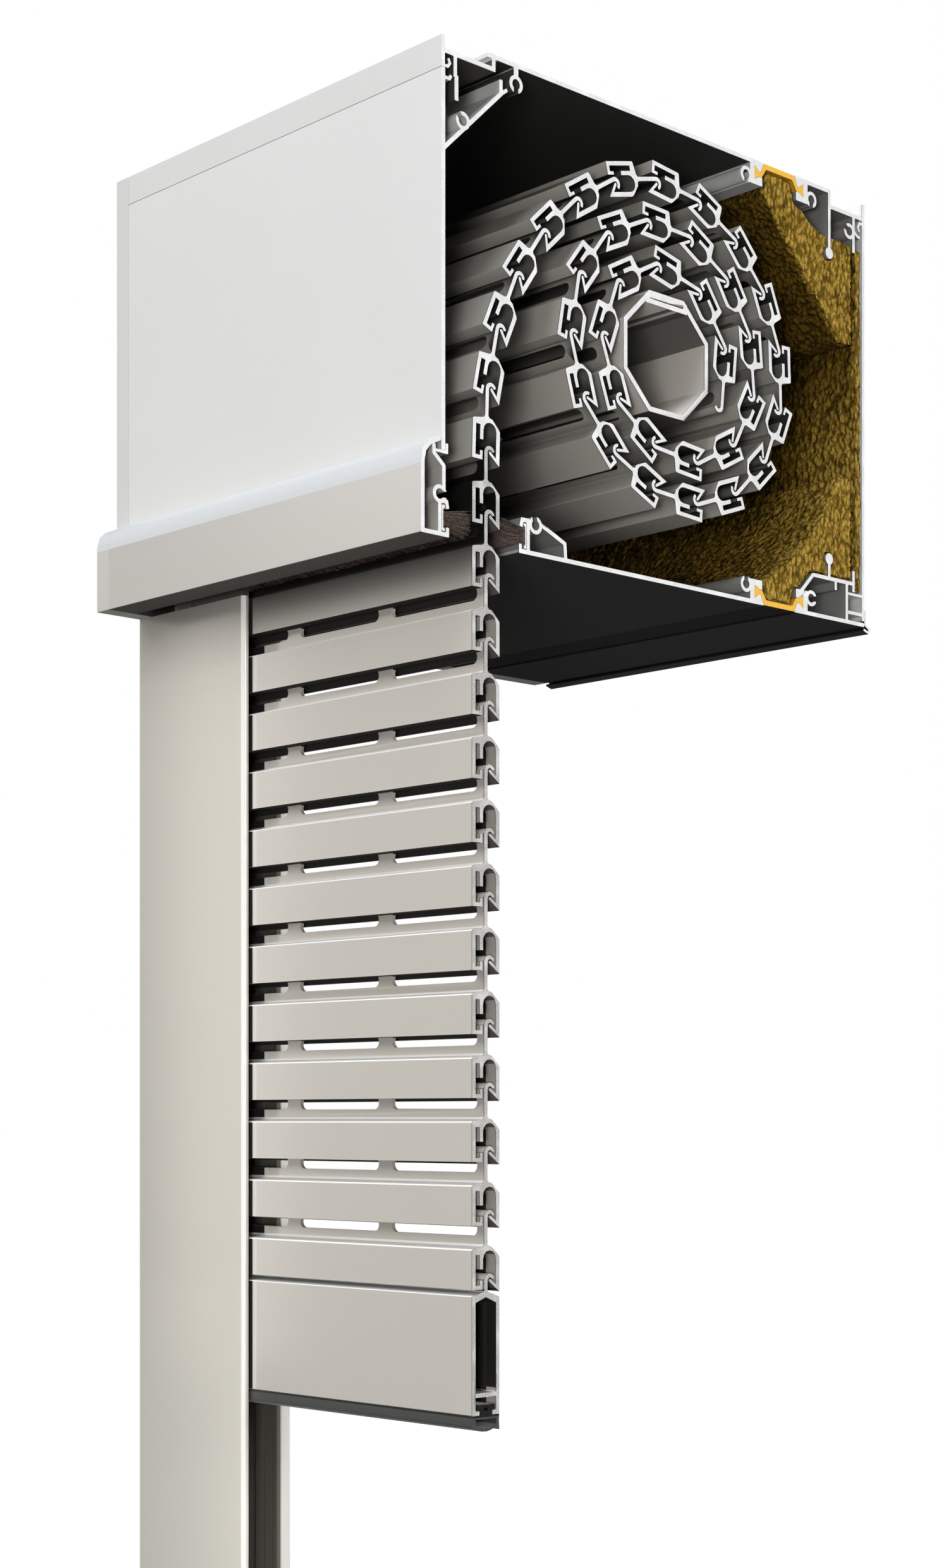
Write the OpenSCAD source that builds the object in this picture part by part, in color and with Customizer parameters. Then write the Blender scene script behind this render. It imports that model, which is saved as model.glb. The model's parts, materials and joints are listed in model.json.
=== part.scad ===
// Exterior roller shutter: a sectioned sample of an insulated head box with its roll of
// vented slats on an octagonal shaft, one guide rail and the hanging curtain.
// X runs along the shaft and the sample is cut open at x = 0. Y points into the wall, Z up.
// The origin is the axis of the shaft in the plane of the cut. Lengths are in millimetres.

/* [Head box] */
// Length of the sample along the shaft, with the end cap
sample_w = 263; // [250:0.5:290]
// Depth of the box, front face to rear face
box_d = 300; // [296:1:320]
// Height of the box
box_h = 229.5; // [224:0.5:245]
// Axis of the shaft behind the front face
shaft_back = 147; // [143:1:152]
// Axis of the shaft below the middle of the box's height
shaft_drop = 0.75; // [-2:0.25:3]
// Wall of the aluminium box profiles
plate_t = 2.1; // [1.8:0.1:2.4]
// Thickness of the front panel
panel_t = 2.3; // [1.8:0.1:2.6]
// Thickness of the cast end cap
cap_t = 11; // [8:0.5:14]
// Middle of the thermal breaks in front of the rear face
break_fore = 69; // [66:1:73]
// How far the nose stands in front of the front panel
nose_out = 12.2; // [9:0.2:16]
// Height of the nose
nose_h = 44.6; // [42:0.2:47]
// Height of the front panel's lower edge above the underside
panel_foot = 39.65; // [39:0.05:40.5]
// Joint between front panel and top panel, below the top
joint_drop = 14.7; // [13:0.1:16]
// Bore radius of the screw ports in the profiles
port_r = 2.4; // [2.1:0.1:2.6]
// Wall around the screw ports
port_t = 1.8; // [1.4:0.1:2]

/* [Curtain] */
// Distance between two pivots of the extended curtain
pitch = 29.6; // [28.5:0.1:31]
// Curtain's pivot line behind the front face of the box
guide_back = 29.6; // [28.6:0.2:30.6]
// Slat's front face in front of its pivot line
slat_front = 10.9; // [10:0.1:11.6]
// Slat's rear face behind its pivot line
slat_rear = 5.9; // [5.6:0.1:6.2]
// Gap between the slats' ends and the bottom of the rail's channel
slat_end_gap = 4.5; // [3:0.5:7]
// Number of vented slats below the box
hung_slats = 12; // [8:1:13]
// Hook of the slat in the outlet above the underside of the box
outlet_hook = 43.4; // [40:0.2:48]
// Pivot to the slat's lower edge
slat_foot = 4; // [3.6:0.1:4.4]
// Pivot to the slat's shoulder
slat_shoulder = 15.9; // [15:0.1:16.6]
// Inner radius of the hook
hook_r = 1.5; // [1.4:0.05:1.7]
// Thickness of the slat's web
web_t = 2; // [1.6:0.1:2.2]
// Radius of the lip's round edge, half the lip's thickness
lip_r = 0.7; // [0.6:0.05:0.8]
// Slope of the lip below the horizontal
lip_slope = 37; // [32:1:42]
// Length of a vent slot
vent_len = 62; // [30:1:66]
// Height of a vent slot
vent_h = 6.3; // [4:0.1:7]
// Distance between the middles of two vent slots
vent_pitch = 72; // [68:0.5:80]

/* [Roll] */
// Number of slats above the outlet
upper_slats = 36; // [35:1:37]
// Pivot radius of the innermost layer
roll_r = 42.4; // [42:0.1:44]
// Growth of the pivot radius from layer to layer
layer_step = 20.8; // [20.6:0.1:21.6]
// Pivot radius at the free inner end
inner_end_r = 40; // [39:0.5:42]
// Angle at which a layer starts to climb
ramp_at = 230; // [220:1:240]
// Angle over which it climbs
ramp_sweep = 138; // [120:1:150]
// Radius of the arch from the roll down to the rail
arch_r = 150; // [146:1:156]
// Shaft across its flats
shaft_af = 60; // [56:0.5:61]
// Wall of the shaft
shaft_t = 2.5; // [1.5:0.1:3]

/* [Guide rail and bottom bar] */
// Width of the guide rail
rail_w = 92; // [88:0.5:100]
// Depth of the guide rail
rail_d = 29.6; // [29:0.2:36]
// Front of the rail behind the front face of the box
rail_back = 14.3; // [13.5:0.1:15.2]
// Length of the rail below the box
rail_len = 526; // [440:1:560]
// Wall of the rail
rail_t = 2; // [1.6:0.1:2.4]
// Depth of the rail's channel
channel_w = 42; // [38:0.5:44]
// Height of the bottom bar, pivot to lower edge
bar_h = 62.3; // [50:0.5:70]
// Height of the rubber seal below the bar
seal_h = 8; // [6:0.5:12]
// Screw holes of the rail, distance from each other
fixing_pitch = 260; // [200:5:300]
// Screw holes of the rail, radius
fixing_r = 2.6; // [2:0.1:3.2]

/* [Bearing] */
// Bore of the ball bearing
bearing_bore = 12; // [10:0.5:14]
// Outside diameter of the ball bearing
bearing_d = 28; // [26:0.5:30]
// Width of the ball bearing
bearing_w = 8; // [7:0.5:9]
// Number of balls
balls = 8; // [6:1:9]

/* [Hidden] */
$fn = 48;
fit = 0.15;
run = 0.3;
// box frame: y from the front face, z from the underside
shaft_rise = box_h / 2 - shaft_drop;
break_back = box_d - break_fore;
front = -shaft_back;
under = -shaft_rise;
cap_x = -(sample_w - cap_t);
// curtain
guide_y = guide_back - shaft_back;
hook_bulge = 0.25;
slat_wall = 2;
rear_wall = 2.2;
shoulder_drop = 1.1;
rib_y = -4.3;
rib_z = 5.4;
tongue_t = 1.5;
ceiling_r = 4;
ceiling_z = 10.1;
vent_gap = 4.8;
// path of the pivots: a line in the rail, the arch, and the layers of the roll
roll_out = roll_r + 2 * layer_step;
arch_c = [guide_y + arch_r, -sqrt(pow(arch_r - roll_out, 2) - pow(guide_y + arch_r, 2))];
arch_sweep = acos((guide_y + arch_r) / (arch_r - roll_out));
arch_len = arch_r * arch_sweep * PI / 180;
depart = 180 - arch_sweep;
outlet_z = under + outlet_hook;
arch_slats = 3;
rail_left = -sample_w;
rail_right = rail_left + rail_w;
channel_x = rail_right - channel_w;
slat_len = -channel_x - slat_end_gap;
rail_front = front + rail_back;
rail_rear = rail_front + rail_d;
rail_top = under - 0.05;
rail_foot = under - rail_len;
axle_r = bearing_bore / 2;
bracket_t = 3;
bracket_out = 17;
flange_x = cap_x + bracket_out;
tube_x = flange_x + 2.5;
capsule_x = tube_x + 58;

function unit(a) = [cos(a), sin(a)];
function smooth(t) = t <= 0 ? 0 : t >= 1 ? 1 : t * t * (3 - 2 * t);
function arc(c, r, from, to, steps) =
    [for (i = [0 : steps]) c + r * unit(from + (to - from) * i / steps)];

function layer_r(a) = roll_r
    + layer_step * (smooth((a - ramp_at) / ramp_sweep) + smooth((a - 360 - ramp_at) / ramp_sweep))
    - (roll_r - inner_end_r) * (1 - smooth((a + 60) / 60));
function roll_angle(s) = depart + 720 - (s - arch_len) / roll_out * 180 / PI;
function path(s) =
    s <= 0 ? [guide_y, arch_c[1] + s]
    : s <= arch_len ? arch_c + arch_r * unit(180 - s / arch_r * 180 / PI)
    : layer_r(roll_angle(s)) * unit(roll_angle(s));
// the place on the path that lies one pitch above place s
function seek(s, low, high, n) =
    let (mid = (low + high) / 2)
    n == 0 ? mid
    : norm(path(mid) - path(s)) < pitch ? seek(s, mid, high, n - 1)
    : seek(s, low, mid, n - 1);
function climb(s, n) =
    n == 0 ? [s] : concat([s], climb(seek(s, s + 0.9 * pitch, s + 2.6 * pitch, 36), n - 1));
pivots = [for (s = climb(outlet_z - arch_c[1], upper_slats)) path(s)];

// Transforms and small shapes

module along(x0, x1) {
    translate([x0, 0, 0]) rotate([90, 0, 90]) linear_extrude(x1 - x0) children();
}

module box_profile() {
    along(cap_x, 0) translate([front, under]) children();
}

// Bent wall along a line of points, with mitred bends
function side(a, b) = [a[1] - b[1], b[0] - a[0]] / norm(b - a);
function mitre(p, i) =
    i == 0 ? side(p[0], p[1])
    : i == len(p) - 1 ? side(p[i - 1], p[i])
    : let (n = side(p[i - 1], p[i]), m = side(p[i], p[i + 1])) (n + m) / (1 + n * m);

module wall(p, t = plate_t) {
    last = len(p) - 1;
    polygon(concat([for (i = [0 : last]) p[i] - mitre(p, i) * t / 2],
        [for (i = [last : -1 : 0]) p[i] + mitre(p, i) * t / 2]));
}

module port_ring(c) {
    translate(c) circle(port_r + port_t);
}

module port_bore(c, mouth) {
    translate(c) {
        circle(port_r);
        rotate(mouth) translate([0, -0.6 * port_r]) square([port_r + port_t + 1, 1.2 * port_r]);
    }
}

// Head box profiles, in the box frame

jaw_outline = [[12, 0], [22.4, 0], [22.4, 12.6], [13.2, 12.6], [13.2, 8.05], [15.1, 8.05],
    [19.1, 9.8], [19.1, 2.8], [15.3, 5.45], [14.35, 5.45], [12, 0.25]];
break_half = [[11.8, 0.3], [14.2, 5.6], [15.3, 5.6], [19, 3], [19, 9.6], [15.1, 7.9],
    [13.4, 7.9], [10.2, 3]];
jaw_end = 22.4;
jaw_port = [25.4, 9.3];
rear_leg = 9;
bulb_leg = 29;
bulb_r = 3;
chamber_leg = 14.6;
groove_drop = 8;
front_groove = 32;
nose_port = [-0.9, 19.2];
brace_port = [13, 36.2];
top_port = [46, 9.8];
holder_port = [58.4, 14.6];
rear_port = [12.6, 18.2];

function at_break(side, top, p) = [break_back + side * p[0], top ? box_h - p[1] : p[1]];
function from_top(p) = [p[0], box_h - p[1]];
function from_rear(p) = [box_d - p[0], p[1]];
function from_corner(p) = [box_d - p[0], box_h - p[1]];

module jaw(side, top) {
    last = len(jaw_outline) - 1;
    order = (side > 0) == top ? [last : -1 : 0] : [0 : last];
    polygon([for (i = order) at_break(side, top, jaw_outline[i])]);
    port_ring(at_break(side, top, jaw_port));
}

module plate(y0, y1, z0, z1) {
    translate([y0, z0]) square([y1 - y0, z1 - z0]);
}

module front_panel() {
    brace_foot = [panel_t / 2, box_h - 52];
    brace_head = [36.5, box_h - 17];
    color("gainsboro") box_profile() difference() {
        union() {
            plate(0, panel_t, panel_foot, box_h - joint_drop - fit);
            wall([brace_foot, brace_head, [36.5, box_h - groove_drop - plate_t - run]], 2);
            wall([brace_head, from_top([40.4, 14.1])], 1.6);
            wall([[panel_t / 2, box_h - 19.2], from_top([5, 19.2]), from_top([5.9, 17.4])], 1.5);
            port_ring(from_top(brace_port));
        }
        port_bore(from_top(brace_port), 135);
    }
}

module top_panel() {
    color("gainsboro") box_profile() difference() {
        union() {
            plate(28, break_back - jaw_end + 0.1, box_h - plate_t, box_h);
            plate(0, plate_t, box_h - joint_drop, box_h);
            plate(0, front_groove + plate_t / 2, box_h - groove_drop, box_h - groove_drop + plate_t);
            plate(front_groove - plate_t / 2, front_groove + plate_t / 2, box_h - groove_drop, box_h);
            plate(7.4, 9.4, box_h - 17.4, box_h - groove_drop);
            plate(8, 10.2, box_h - 28, box_h - 16.4);
            wall([[1, box_h - joint_drop + 0.8], from_top([3.9, 13.8]), from_top([5.2, 12]),
                from_top([4.2, 10])], 1.4);
            plate(top_port[0] - 1.4, top_port[0] + 1.4, box_h - top_port[1], box_h - 1);
            port_ring(from_top(top_port));
            jaw(-1, true);
        }
        port_bore(from_top(top_port), 270);
        port_bore(at_break(-1, true, jaw_port), 270);
    }
}

module nose_profile() {
    nose_y = 1.1 - nose_out;
    color("silver") box_profile() difference() {
        union() {
            wall([[nose_y, 1], [nose_y, nose_h - 11.6], [nose_y + 1.2, nose_h - 6.4],
                [nose_y + 4.5, nose_h - 2.8], [1, nose_h + 1]], 2.2);
            wall([[-4.4, nose_h - 3], [-4.4, 37.4], [1.5, 32.4], [1.5, 22]], 2);
            wall([[-4.4, panel_foot - 0.85], [panel_t + 1, panel_foot - 0.85],
                [panel_t + 1, panel_foot + 3.2]], 1.5);
            wall([[-0.9, 1], [-0.9, 15.6]], 2);
            wall([[0.2, 16.2], [3.2, 16.2], [3.8, 13]], 1.8);
            plate(nose_y - 1.1, 4.6, 0, 2);
            plate(2.9, 4.6, 0, 4.4);
            port_ring(nose_port);
        }
        port_bore(nose_port, 0);
        plate(-fit, panel_t + 0.1, panel_foot - 0.1, nose_h + 4);
    }
}

module bottom_panel() {
    color("gainsboro") box_profile() difference() {
        union() {
            plate(47.8, break_back - jaw_end + 0.1, 0, plate_t);
            plate(47.8, 49.6, 0, 4.4);
            wall([[53.7, 1], [53.7, 16], [49.9, 16], [49, 12.6]], 2);
            port_ring(holder_port);
            wall([holder_port + [3.2, 1], [77.4, 9], [78, 1]], 2);
            jaw(-1, false);
        }
        port_bore(holder_port, 100);
        port_bore(at_break(-1, false, jaw_port), 90);
    }
}

module rear_top_profile() {
    color("gainsboro") box_profile() difference() {
        union() {
            jaw(1, true);
            plate(break_back + jaw_end - 0.1, box_d - bulb_leg + 1, box_h - plate_t, box_h);
            plate(box_d - bulb_leg - 1, box_d - bulb_leg + 1, box_h - 34, box_h);
            translate(from_corner([bulb_leg, 34])) circle(bulb_r);
            plate(box_d - bulb_leg, box_d - plate_t - fit, box_h - groove_drop - plate_t, box_h - groove_drop);
            plate(box_d - rear_leg - 1, box_d - rear_leg + 1, box_h - 29, box_h - groove_drop);
            port_ring(from_corner(rear_port));
            wall([from_corner([rear_leg, 17]), from_corner([5.6, 19.6]), from_corner([3.6, 19.6])], 1.5);
        }
        port_bore(from_corner(rear_port), 150);
        port_bore(at_break(1, true, jaw_port), 270);
    }
}

module rear_panel() {
    color("whitesmoke") box_profile() {
        plate(box_d - plate_t, box_d, plate_t + 1, box_h - 1);
        wall([from_corner([1, 12]), from_corner([4.2, 12]), from_corner([5.4, 14.4]),
            from_corner([4, 16.6])], 1.4);
        plate(box_d - chamber_leg + 1 + fit, box_d - 1, 15.6, 17);
        plate(box_d - chamber_leg + 1 + fit, box_d - 1, 5.4, 7.2);
    }
}

module rear_bottom_profile() {
    color("gainsboro") box_profile() difference() {
        union() {
            jaw(1, false);
            plate(break_back + jaw_end - 0.1, box_d - fit, 0, plate_t);
            wall([[break_back + 17, 11.6], [break_back + 27, 22], from_rear([chamber_leg, 22]), from_rear([chamber_leg, 1])], 2);
            plate(box_d - chamber_leg - 0.4, box_d - rear_leg + 1, 21, 23);
            plate(box_d - rear_leg - 1, box_d - rear_leg + 1, 17.6, 29);
            plate(box_d - bulb_leg - 1, box_d - bulb_leg + 1, 22, 32);
            translate(from_rear([bulb_leg, 32.4])) circle(bulb_r);
            plate(box_d - chamber_leg - 10, box_d - chamber_leg - 8.2, 16.6, 22);
        }
        port_bore(at_break(1, false, jaw_port), 0);
    }
}

module drip_strip() {
    color("dimgray") box_profile() {
        plate(box_d + 0.05, box_d + 1.25, 1, 9);
        wall([[box_d + 0.65, 1.4], [box_d + 4.2, -0.8], [box_d + 3.4, -2.6], [box_d - 0.6, -1.3]], 1.2);
    }
}

module thermal_break(top) {
    color("orange") box_profile() polygon(concat(
        [for (p = break_half) at_break(1, top, p)],
        [for (i = [len(break_half) - 1 : -1 : 0]) at_break(-1, top, break_half[i])]));
}

// Mineral wool, in the box frame

module insulation_upper() {
    color("goldenrod") box_profile() difference() {
        polygon([from_top([break_back - 8.6, 3.4]), from_top([break_back + 9.4, 3.4]),
            from_top([break_back + 12.4, 13.2]), from_corner([37, 24]), from_corner([10.4, 24.4]),
            from_corner([10.4, 80]), from_corner([20, 80]), from_top([break_back - 13, 15.6])]);
        translate(from_corner([bulb_leg, 34])) circle(bulb_r + run);
        plate(box_d - bulb_leg - 1 - run, box_d - bulb_leg + 1 + run, box_h - 34, box_h);
        plate(box_d - rear_leg - 4, box_d, box_h - 24.6, box_h);
    }
}

module insulation_lower() {
    bay_c = [break_back - 72, shaft_rise + 14];
    color("goldenrod") box_profile() difference() {
        polygon([[break_back - 8.8, 3.4], [break_back + 9.6, 3.4], [break_back + 12.4, 13],
            [break_back + 16.4, 13.2], [break_back + 26.2, 23.4], from_rear([10.4, 23.4]),
            from_rear([10.4, 78]), from_rear([40, 78]), [break_back - 40, 30], [break_back - 13.2, 14.2]]);
        translate(bay_c) circle(129, $fn = 96);
        translate(from_rear([bulb_leg, 32.4])) circle(bulb_r + run);
        plate(box_d - bulb_leg - 1 - run, box_d - bulb_leg + 1 + run, 20, 32);
    }
}

module insulation_rear() {
    color("goldenrod") box_profile()
        plate(box_d - rear_leg + 1 + run, box_d - plate_t - run, 17.3, box_h - 27);
}

// Brush seals: the pile fans out from a carrier strip, and each strand is a slim bar

pile_fan = [-2, -1, 0, 1, 2];
pile_step = 4.05;
pile_t = 0.9;
brush_z = 8.4;

module brush(carrier_y, tip_y, side) {
    root = carrier_y + side * 0.9;
    length = abs(tip_y - root);
    along(rail_right + run, 0) translate([front, under])
        plate(min(carrier_y, carrier_y + side * 1.6), max(carrier_y, carrier_y + side * 1.6), 2.5, 14.4);
    for (x = [-2 : -pile_step : rail_right + 2]) {
        along(x - pile_t / 2, x + pile_t / 2) translate([front, under])
            for (k = pile_fan) {
                wall([[root, brush_z + 1.3 * k], [root + side * length, brush_z + 2.6 * k]], 0.8);
            }
    }
}

module brush_front() {
    color("saddlebrown") brush(0.4, guide_back - slat_front - 0.4, 1);
}

module brush_rear() {
    color("saddlebrown") brush(52.4, guide_back + slat_rear + 0.4, -1);
}

// End cap, bearing and shaft

cap_screws = [nose_port, from_top(brace_port), from_top(top_port), holder_port,
    from_corner(rear_port), at_break(-1, true, jaw_port), at_break(1, true, jaw_port),
    at_break(-1, false, jaw_port), at_break(1, false, jaw_port)];
screw_r = 1.9;
head_r = 3.6;
head_h = 2.2;

module screw(length, r = screw_r, head = head_r) {
    cylinder(r = r, h = length, $fn = 24);
    translate([0, 0, -head_h]) difference() {
        cylinder(r = head, h = head_h, $fn = 32);
        for (turn = [0, 90]) {
            rotate(turn) translate([-head * 0.6, -0.5, -1]) cube([head * 1.2, 1, 2.2]);
        }
    }
}

module end_cap() {
    color("gainsboro") difference() {
        along(-sample_w, cap_x) translate([front, under]) {
            plate(0, box_d, 0, box_h);
            polygon([[-nose_out, 0], [1, 0], [1, nose_h + 1.6], [-nose_out + 5, nose_h - 2],
                [-nose_out + 1.4, nose_h - 5.4], [-nose_out, nose_h - 11]]);
        }
        for (c = cap_screws) {
            translate([-sample_w - 1, front + c[0], under + c[1]]) rotate([0, 90, 0])
                cylinder(r = screw_r + 0.1, h = cap_t + 2, $fn = 24);
        }
        for (c = connector_holes) {
            translate([-sample_w - 1, c[0], c[1]]) rotate([0, 90, 0])
                cylinder(r = screw_r + 0.1, h = cap_t + 2, $fn = 24);
        }
    }
}

module end_cap_screws() {
    color("silver") for (c = cap_screws) {
        translate([-sample_w, front + c[0], under + c[1]]) rotate([0, 90, 0]) screw(cap_t + 14);
    }
}

holder_t = 3.5;
holder_len = bearing_w + 2;
bracket_w = 84;
bracket_bolt = 33;

module bearing_bracket() {
    color("lightsteelblue") difference() {
        union() {
            translate([cap_x, -bracket_w / 2, -bracket_w / 2]) cube([bracket_t, bracket_w, bracket_w]);
            translate([cap_x, 0, 0]) rotate([0, 90, 0])
                cylinder(r = bearing_d / 2 + holder_t, h = bracket_t + holder_len);
        }
        translate([cap_x + bracket_t + 1, 0, 0]) rotate([0, 90, 0])
            cylinder(r = bearing_d / 2 + 0.02, h = holder_len + 1);
        translate([cap_x - 1, 0, 0]) rotate([0, 90, 0]) cylinder(r = bearing_d / 2 - 2, h = 10);
        for (y = [-1, 1], z = [-1, 1]) {
            translate([cap_x - 1, y * bracket_bolt, z * bracket_bolt]) rotate([0, 90, 0])
                cylinder(r = 2.1, h = bracket_t + 2, $fn = 24);
        }
    }
}

module bracket_screws() {
    color("silver") for (y = [-1, 1], z = [-1, 1]) {
        translate([cap_x + bracket_t, y * bracket_bolt, z * bracket_bolt]) rotate([0, 90, 0]) {
            translate([0, 0, -bracket_t]) cylinder(r = 2, h = bracket_t, $fn = 24);
            difference() {
                cylinder(r = 3.8, h = 2.4, $fn = 32);
                translate([0, 0, 1.2]) cylinder(r = 2, h = 2, $fn = 6);
            }
        }
    }
}

ball_track = (bearing_bore + bearing_d) / 4;
ball_r = (bearing_d - bearing_bore) / 8 + 0.4;
cage_w = 2 * ball_r + 1.6;
bearing_x = cap_x + bracket_t + 1.02;

module race(inner, outer) {
    translate([bearing_x, 0, 0]) rotate([0, 90, 0]) rotate_extrude($fn = 64) difference() {
        translate([inner, 0]) square([outer - inner, bearing_w]);
        translate([ball_track, bearing_w / 2]) circle(ball_r + 0.05, $fn = 32);
    }
}

module bearing_outer_ring() {
    color("lightgray") race(ball_track + ball_r * 0.62, bearing_d / 2);
}

module bearing_inner_ring() {
    color("lightgray") race(axle_r + 0.02, ball_track - ball_r * 0.62);
}

module at_balls() {
    for (i = [0 : balls - 1]) {
        rotate([i * 360 / balls, 0, 0]) translate([bearing_x + bearing_w / 2, 0, ball_track]) children();
    }
}

module bearing_balls() {
    color("silver") at_balls() sphere(ball_r, $fn = 32);
}

module ball_cage() {
    color("goldenrod") difference() {
        translate([bearing_x + bearing_w / 2 - cage_w / 2, 0, 0]) rotate([0, 90, 0]) difference() {
            cylinder(r = ball_track + 0.8, h = cage_w);
            translate([0, 0, -1]) cylinder(r = ball_track - 0.8, h = cage_w + 2);
        }
        at_balls() sphere(ball_r + 0.04, $fn = 32);
    }
}

module axle_pin() {
    color("silver") rotate([0, 90, 0]) {
        translate([0, 0, bearing_x - 0.6]) cylinder(r = axle_r, h = capsule_x - bearing_x + 1.5);
        translate([0, 0, bearing_x + bearing_w + fit])
            cylinder(r = axle_r + 3, h = flange_x - bearing_x - bearing_w - 2 * fit);
    }
}

shaft_turn = 22.5;
tube_in = shaft_af - 2 * shaft_t;

module octagon(across) {
    rotate(shaft_turn) circle(d = across / cos(22.5), $fn = 8);
}

module shaft_capsule() {
    color("dimgray") difference() {
        union() {
            along(flange_x, tube_x - 0.05) circle(r = shaft_af * 0.5 / cos(22.5) + 1.5);
            along(tube_x - 0.5, capsule_x) difference() {
                octagon(tube_in - 2 * fit);
                translate([-20, tube_in / 2 - 4.4]) square([40, 10]);
            }
        }
        translate([flange_x - 1, 0, 0]) rotate([0, 90, 0]) cylinder(r = axle_r + 0.02, h = 70);
        for (z = [-1, 1]) {
            translate([tube_x + 20, 0, z * 12]) rotate([z * 90 - 90, 0, 0]) cylinder(r = 1.65, h = 20, $fn = 24);
        }
    }
}

module capsule_screws() {
    reach = shaft_af / 2;
    color("silver") for (z = [-1, 1]) {
        rotate([z > 0 ? 0 : 180, 0, 0]) translate([tube_x + 20, 0, 0]) {
            translate([0, 0, reach]) cylinder(r = 3.4, h = 1.4, $fn = 32);
            translate([0, 0, 14]) cylinder(r = 1.6, h = reach - 14, $fn = 24);
        }
    }
}

module shaft_tube() {
    seam_z = shaft_af / 2 - shaft_t - 4;
    color("darkgray") difference() {
        along(tube_x, 0) difference() {
            union() {
                difference() {
                    octagon(shaft_af);
                    octagon(tube_in);
                }
                plate(-14.6, 14.6, seam_z, seam_z + 5);
            }
            plate(-12, 12, seam_z + 2.4, seam_z + 3);
        }
        for (z = [-1, 1]) {
            rotate([z > 0 ? 0 : 180, 0, 0]) translate([tube_x + 20, 0, 12]) cylinder(r = 1.7, h = 30, $fn = 24);
        }
        at_hangers() translate([0, 0, shaft_af / 2 - 6]) cylinder(r = 1.7, h = 12, $fn = 24);
    }
}

// Slats

function on_lip(start, y) = start + (y - start[0]) / cos(lip_slope) * [cos(lip_slope), -sin(lip_slope)];
lip_low = on_lip(lip_r * unit(270 - lip_slope), slat_rear);
lip_high = on_lip(lip_r * unit(90 - lip_slope), slat_rear - rear_wall);
hook_tip = 18;
web_y = -hook_r - web_t;

function hook_outline(up) = concat(
    arc([-hook_bulge, up], hook_r + web_t - hook_bulge, 180, hook_tip, 8),
    arc([0, up], hook_r, hook_tip, 180, 6));

function slat_outline() = concat(
    [[-slat_front, -slat_foot], [-slat_front, slat_shoulder - shoulder_drop - 0.6],
        [-slat_front + 0.6, slat_shoulder - shoulder_drop], [web_y - 1, slat_shoulder],
        [web_y, slat_shoulder + 1]],
    hook_outline(pitch),
    [[-hook_r, slat_shoulder + 1.2], [-hook_r + 0.8, slat_shoulder + 0.2],
        [0.9, slat_shoulder], [slat_rear - 0.9, slat_shoulder - 3.9], [slat_rear, slat_shoulder - 5], lip_low],
    arc([0, 0], lip_r, 270 - lip_slope, 90 - lip_slope, 6),
    [lip_high],
    arc([rib_y + ceiling_r, ceiling_z], ceiling_r, 0, 180, 6),
    [[rib_y, rib_z], [rib_y - slat_wall, rib_z], [rib_y - slat_wall, slat_shoulder - 3.7],
        [-slat_front + slat_wall, slat_shoulder - 3.7], [-slat_front + slat_wall, 1.8 - slat_foot],
        [rib_y - 1.8, 1.8 - slat_foot], [rib_y - 1.8, 0.2], [rib_y - 0.3, 0.2], [rib_y - 0.3, -slat_foot]]);

// Slot in the web, at the middle of each bridge pitch, and closed before the slat's end
module vents() {
    for (x = [-vent_pitch / 2 : -vent_pitch : -slat_len + 12]) {
        x1 = x + vent_len / 2;
        x0 = max(x - vent_len / 2, -slat_len + 8);
        r = vent_h / 2;
        translate([0, web_y - 1, slat_shoulder + vent_gap + r]) rotate([-90, 0, 0]) {
            translate([x0 + r, 0, 0]) cylinder(r = r, h = web_t + 2, $fn = 32);
            translate([x1 - r, 0, 0]) cylinder(r = r, h = web_t + 2, $fn = 32);
            translate([x0 + r, -r, 0]) cube([x1 - x0 - 2 * r, vent_h, web_t + 2]);
        }
    }
}

module slat() {
    difference() {
        along(-slat_len, 0) polygon(slat_outline());
        vents();
    }
}

// Upper slat k hangs from pivot k + 1 and carries pivot k
module upper_slat(k) {
    up = pivots[k + 1] - pivots[k];
    translate([0, pivots[k][0], pivots[k][1]]) rotate([atan2(-up[0], up[1]), 0, 0]) slat();
}

module upper_group(from, to) {
    color("tan") for (k = [from : to]) {
        upper_slat(k);
    }
}

module hung_slat(n) {
    color("tan") translate([0, guide_y, outlet_z - pitch * (n + 1)]) slat();
}

first_wound = arch_slats + 3;
middle_from = first_wound + 10;
inner_from = middle_from + 12;

// Hangers hold the innermost slat's hook to the nearest flat of the shaft

hang_p = pivots[upper_slats];
hang_dir = pivots[upper_slats] - pivots[upper_slats - 1];
hang_flat = round(atan2(hang_p[1], hang_p[0]) / 45) * 45;
hang_turn = atan2(-hang_dir[0], hang_dir[1]);
hanger_w = 22;
hanger_x = [-45, capsule_x + 18];
hanger_t = 1;

// Frame on the flat: first axis along the flat, second axis outwards
module on_flat() {
    rotate(hang_flat - 90) children();
}

function to_flat(p) = [p[0] * cos(90 - hang_flat) - p[1] * sin(90 - hang_flat),
    p[0] * sin(90 - hang_flat) + p[1] * cos(90 - hang_flat)];
hang_lip = to_flat(hang_p + 5 * unit(hang_turn - lip_slope));
hang_foot = to_flat(hang_p)[0] + 13;

module at_hangers() {
    rotate([hang_flat - 90, 0, 0]) for (x = hanger_x) {
        translate([x, hang_foot, 0]) children();
    }
}

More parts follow.
